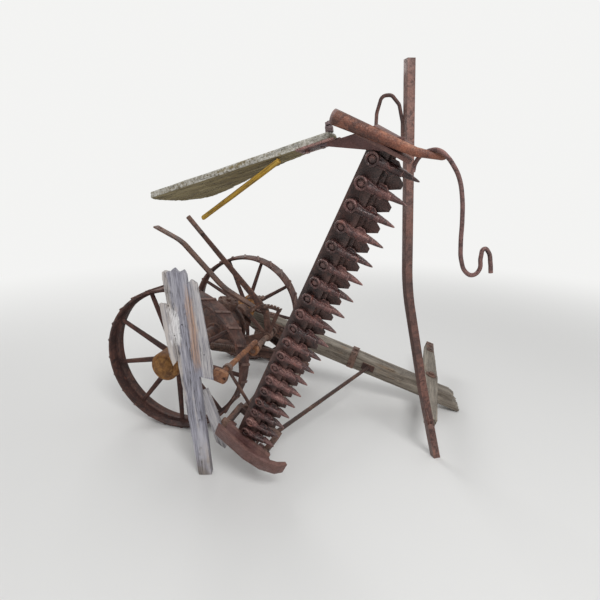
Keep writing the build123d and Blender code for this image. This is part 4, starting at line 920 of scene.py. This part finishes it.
def hooked_rod():
    """A round rod in one smooth bend through the places of its route."""
    view = Matrix.Translation(BAR_AXES @ Vector(SOLE_NOSE)) @ turned("Z", CAMERA_TURN)
    deselect()
    bpy.ops.curve.primitive_bezier_curve_add()
    rod = bpy.context.object
    rod.name = "hook_rod_bent"
    line = rod.data.splines[0]
    line.bezier_points.add(len(HOOK_ROUTE) - 2)
    line.resolution_u = 8
    for point, place in zip(line.bezier_points, HOOK_ROUTE):
        point.co = view @ (Vector(place) / 1000)
    for point in line.bezier_points:
        point.handle_left_type = "AUTO"
        point.handle_right_type = "AUTO"
    rod.data.bevel_depth = HOOK_RADIUS
    rod.data.bevel_resolution = 3
    rod.data.use_fill_caps = True
    bpy.ops.object.convert(target="MESH")
    rod = settle(close_up(bpy.context.object))
    smooth(rod, 50.0)
    return rod


# Stage

FLOOR_RADIUS = 60.0

# How far from the middle the floor begins to turn into the backdrop and where it has, in metres
FLOOR_FADE = (2.2, 6.0)

# Lamps: name, place and width in metres, the stage's value that holds the power
LAMPS = (
    ("key_light", (2.6, -3.8, 4.6), 2.2, "key_power"),
    ("rim_light", (-3.4, 3.6, 4.2), 3.0, "rim_power"),
)
LAMP_AIM = Vector((0, 0, 0.7))


class MowerStage(bpy.types.PropertyGroup):
    """Floor and light."""

    floor_colour: bpy.props.FloatVectorProperty(
        name="Floor", description="Colour of the floor", subtype="COLOR", size=3, default=(0.80, 0.80, 0.79),
        min=0.0, max=1.0,
    )
    backdrop_colour: bpy.props.FloatVectorProperty(
        name="Backdrop", description="Colour seen behind the machine", subtype="COLOR", size=3,
        default=(0.90, 0.90, 0.89), min=0.0, max=1.0,
    )
    sky_level: bpy.props.FloatProperty(
        name="Sky", description="Strength of the light from all round", default=0.50
    )
    key_power: bpy.props.FloatProperty(
        name="Key light", description="Power of the large soft light", default=165.0, subtype="POWER"
    )
    rim_power: bpy.props.FloatProperty(
        name="Rim light", description="Power of the light from behind", default=90.0, subtype="POWER"
    )


class MOWER_OT_stage(bpy.types.Operator):
    """Lay the floor, light it softly and set the camera"""

    bl_idname = "mower.stage"
    bl_label = "Stage"

    def execute(self, context):
        stage = context.scene.mower_stage
        backdrop = (*stage.backdrop_colour, 1.0)
        self.lay_floor(stage, backdrop)
        self.make_sky(context, stage, backdrop)
        self.hang_lamps(context, stage)
        self.set_camera(context)
        return {"FINISHED"}

    def lay_floor(self, stage, backdrop):
        """A round floor that turns into the backdrop away from the machine."""
        deselect()
        bpy.ops.mesh.primitive_circle_add(vertices=96, radius=FLOOR_RADIUS, fill_type="NGON")
        floor = bpy.context.object
        floor.name = "floor"
        made = Finish("floor")
        near = made.node(
            "ShaderNodeBsdfPrincipled", None, {"Base Color": (*stage.floor_colour, 1.0), "Roughness": 0.9}
        )
        far = made.node("ShaderNodeEmission", None, {"Color": backdrop, "Strength": 1.0})
        x, y, _ = made.parts(made.place())
        distance = (x ** 2.0 + y ** 2.0) ** 0.5
        share = distance.above(*FLOOR_FADE) * made.in_view()
        both = made.node("ShaderNodeMixShader", None, {0: share, 1: near.outputs[0], 2: far.outputs[0]})
        made.node("ShaderNodeOutputMaterial", None, {"Surface": both.outputs[0]})
        floor.data.materials.append(made.material)

    def make_sky(self, context, stage, backdrop):
        """Even light from all round, with the backdrop's colour where the sky is seen."""
        world = bpy.data.worlds.new("sky")
        context.scene.world = world
        made = Nodes(world)
        white = (1.0, 1.0, 1.0, 1.0)
        lit = made.node("ShaderNodeBackground", None, {"Color": white, "Strength": stage.sky_level})
        seen = made.node("ShaderNodeBackground", None, {"Color": backdrop})
        both = made.node(
            "ShaderNodeMixShader", None, {0: made.in_view(), 1: lit.outputs[0], 2: seen.outputs[0]}
        )
        made.node("ShaderNodeOutputWorld", None, {"Surface": both.outputs[0]})

    def hang_lamps(self, context, stage):
        """Soft round lamps that point at the machine's middle."""
        for name, place, width, power in LAMPS:
            bpy.ops.object.light_add(type="AREA", location=place)
            lamp = context.object
            lamp.name = name
            lamp.data.shape = "DISK"
            lamp.data.size = width
            lamp.data.energy = getattr(stage, power)
            aim = LAMP_AIM - lamp.location
            lamp.rotation_euler = aim.to_track_quat("-Z", "Y").to_euler()

    def set_camera(self, context):
        """The camera that took the photograph."""
        bpy.ops.object.camera_add(location=CAMERA_PLACE)
        camera = context.object
        camera.rotation_euler = (math.radians(90 - CAMERA_DOWN), 0, math.radians(CAMERA_TURN))
        camera.data.lens = CAMERA_LENS
        camera.data.sensor_width = CAMERA_SENSOR
        camera.data.clip_end = CAMERA_END
        context.scene.camera = camera
        context.scene.view_settings.view_transform = "Standard"


class MOWER_OT_finishes(bpy.types.Operator):
    """Make the rusts and put them on the iron nodes"""

    bl_idname = "mower.finishes"
    bl_label = "Finishes"

    def execute(self, context):
        for row in RUSTS:
            rust(*row)
        wooden = {row[0] for row in WOODEN}
        for node, solid in NODES.items():
            if node not in wooden:
                coat(solid, node)
        return {"FINISHED"}


class MOWER_OT_worn_iron(bpy.types.Operator):
    """Wear the edges of the iron pieces"""

    bl_idname = "mower.worn_iron"
    bl_label = "Worn iron"

    def execute(self, context):
        for node, edge in WORN:
            put_iron(wear(copy_of(node), edge / 1000), node)
        return {"FINISHED"}


class MOWER_OT_cutter_bar(bpy.types.Operator):
    """Forge the guards and pack scale between the bar and the knife"""

    bl_idname = "mower.cutter_bar"
    bl_label = "Cutter bar"

    def execute(self, context):
        put_iron(guard_row(), "guards")
        put_iron(packed_bar(), "cutter_bar")
        return {"FINISHED"}


class MOWER_OT_hooked_rod(bpy.types.Operator):
    """Bend the hooked rod over the shoe's nose"""

    bl_idname = "mower.hooked_rod"
    bl_label = "Hooked rod"

    def execute(self, context):
        put_iron(hooked_rod(), "hook_rod")
        return {"FINISHED"}


class MOWER_OT_springs(bpy.types.Operator):
    """Wind the balance spring and the spring on the swath board's bolt"""

    bl_idname = "mower.springs"
    bl_label = "Springs"

    def execute(self, context):
        for node, edge, radius, wire, core, turns in SPRINGS:
            start, end = spring_ends(node)
            piece = wear(copy_of(node), edge / 1000)
            piece = wound(piece, start, end, radius / 1000, wire / 1000, core / 1000, turns)
            put_iron(piece, node)
        return {"FINISHED"}


class MOWER_OT_worn_wood(bpy.types.Operator):
    """Weather the tongue, evener, pitman, swath board, stick and leaning timber"""

    bl_idname = "mower.worn_wood"
    bl_label = "Worn wood"

    def execute(self, context):
        for node, voxel, groove, head, foot in WOODEN:
            kind = slot_of(node)
            boards = loose_parts(copy_of(node))
            for number, board in enumerate(boards):
                grain = weather(board, voxel / 1000, groove / 1000, head / 1000, foot / 1000)
                if kind == "grey_timber":
                    pierce(board)
                cover(board, wood(f"{node}_board_{number}", kind, grain))
            stand_for(join(boards, node + "_worn"), node)
        return {"FINISHED"}


class MOWER_PT_panel(bpy.types.Panel):
    """The mower's pieces, in the sidebar"""

    bl_label = "Mower"
    bl_idname = "MOWER_PT_panel"
    bl_space_type = "VIEW_3D"
    bl_region_type = "UI"
    bl_category = "Mower"

    def draw(self, context):
        for step in STEPS:
            self.layout.operator(step.bl_idname)
        stage = context.scene.mower_stage
        for key in ("floor_colour", "backdrop_colour", "sky_level", "key_power", "rim_power"):
            self.layout.prop(stage, key)


STEPS = (
    MOWER_OT_stage, MOWER_OT_finishes, MOWER_OT_worn_iron, MOWER_OT_cutter_bar, MOWER_OT_hooked_rod,
    MOWER_OT_springs, MOWER_OT_worn_wood,
)
CLASSES = (MowerStage, *STEPS, MOWER_PT_panel)


def register():
    for kind in CLASSES:
        bpy.utils.register_class(kind)
    bpy.types.Scene.mower_stage = bpy.props.PointerProperty(type=MowerStage)


def unregister():
    del bpy.types.Scene.mower_stage
    for kind in reversed(CLASSES):
        bpy.utils.unregister_class(kind)


def main():
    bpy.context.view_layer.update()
    register()
    for step in STEPS:
        group, name = step.bl_idname.split(".")
        getattr(getattr(bpy.ops, group), name)()
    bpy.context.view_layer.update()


if __name__ == "__main__":
    main()
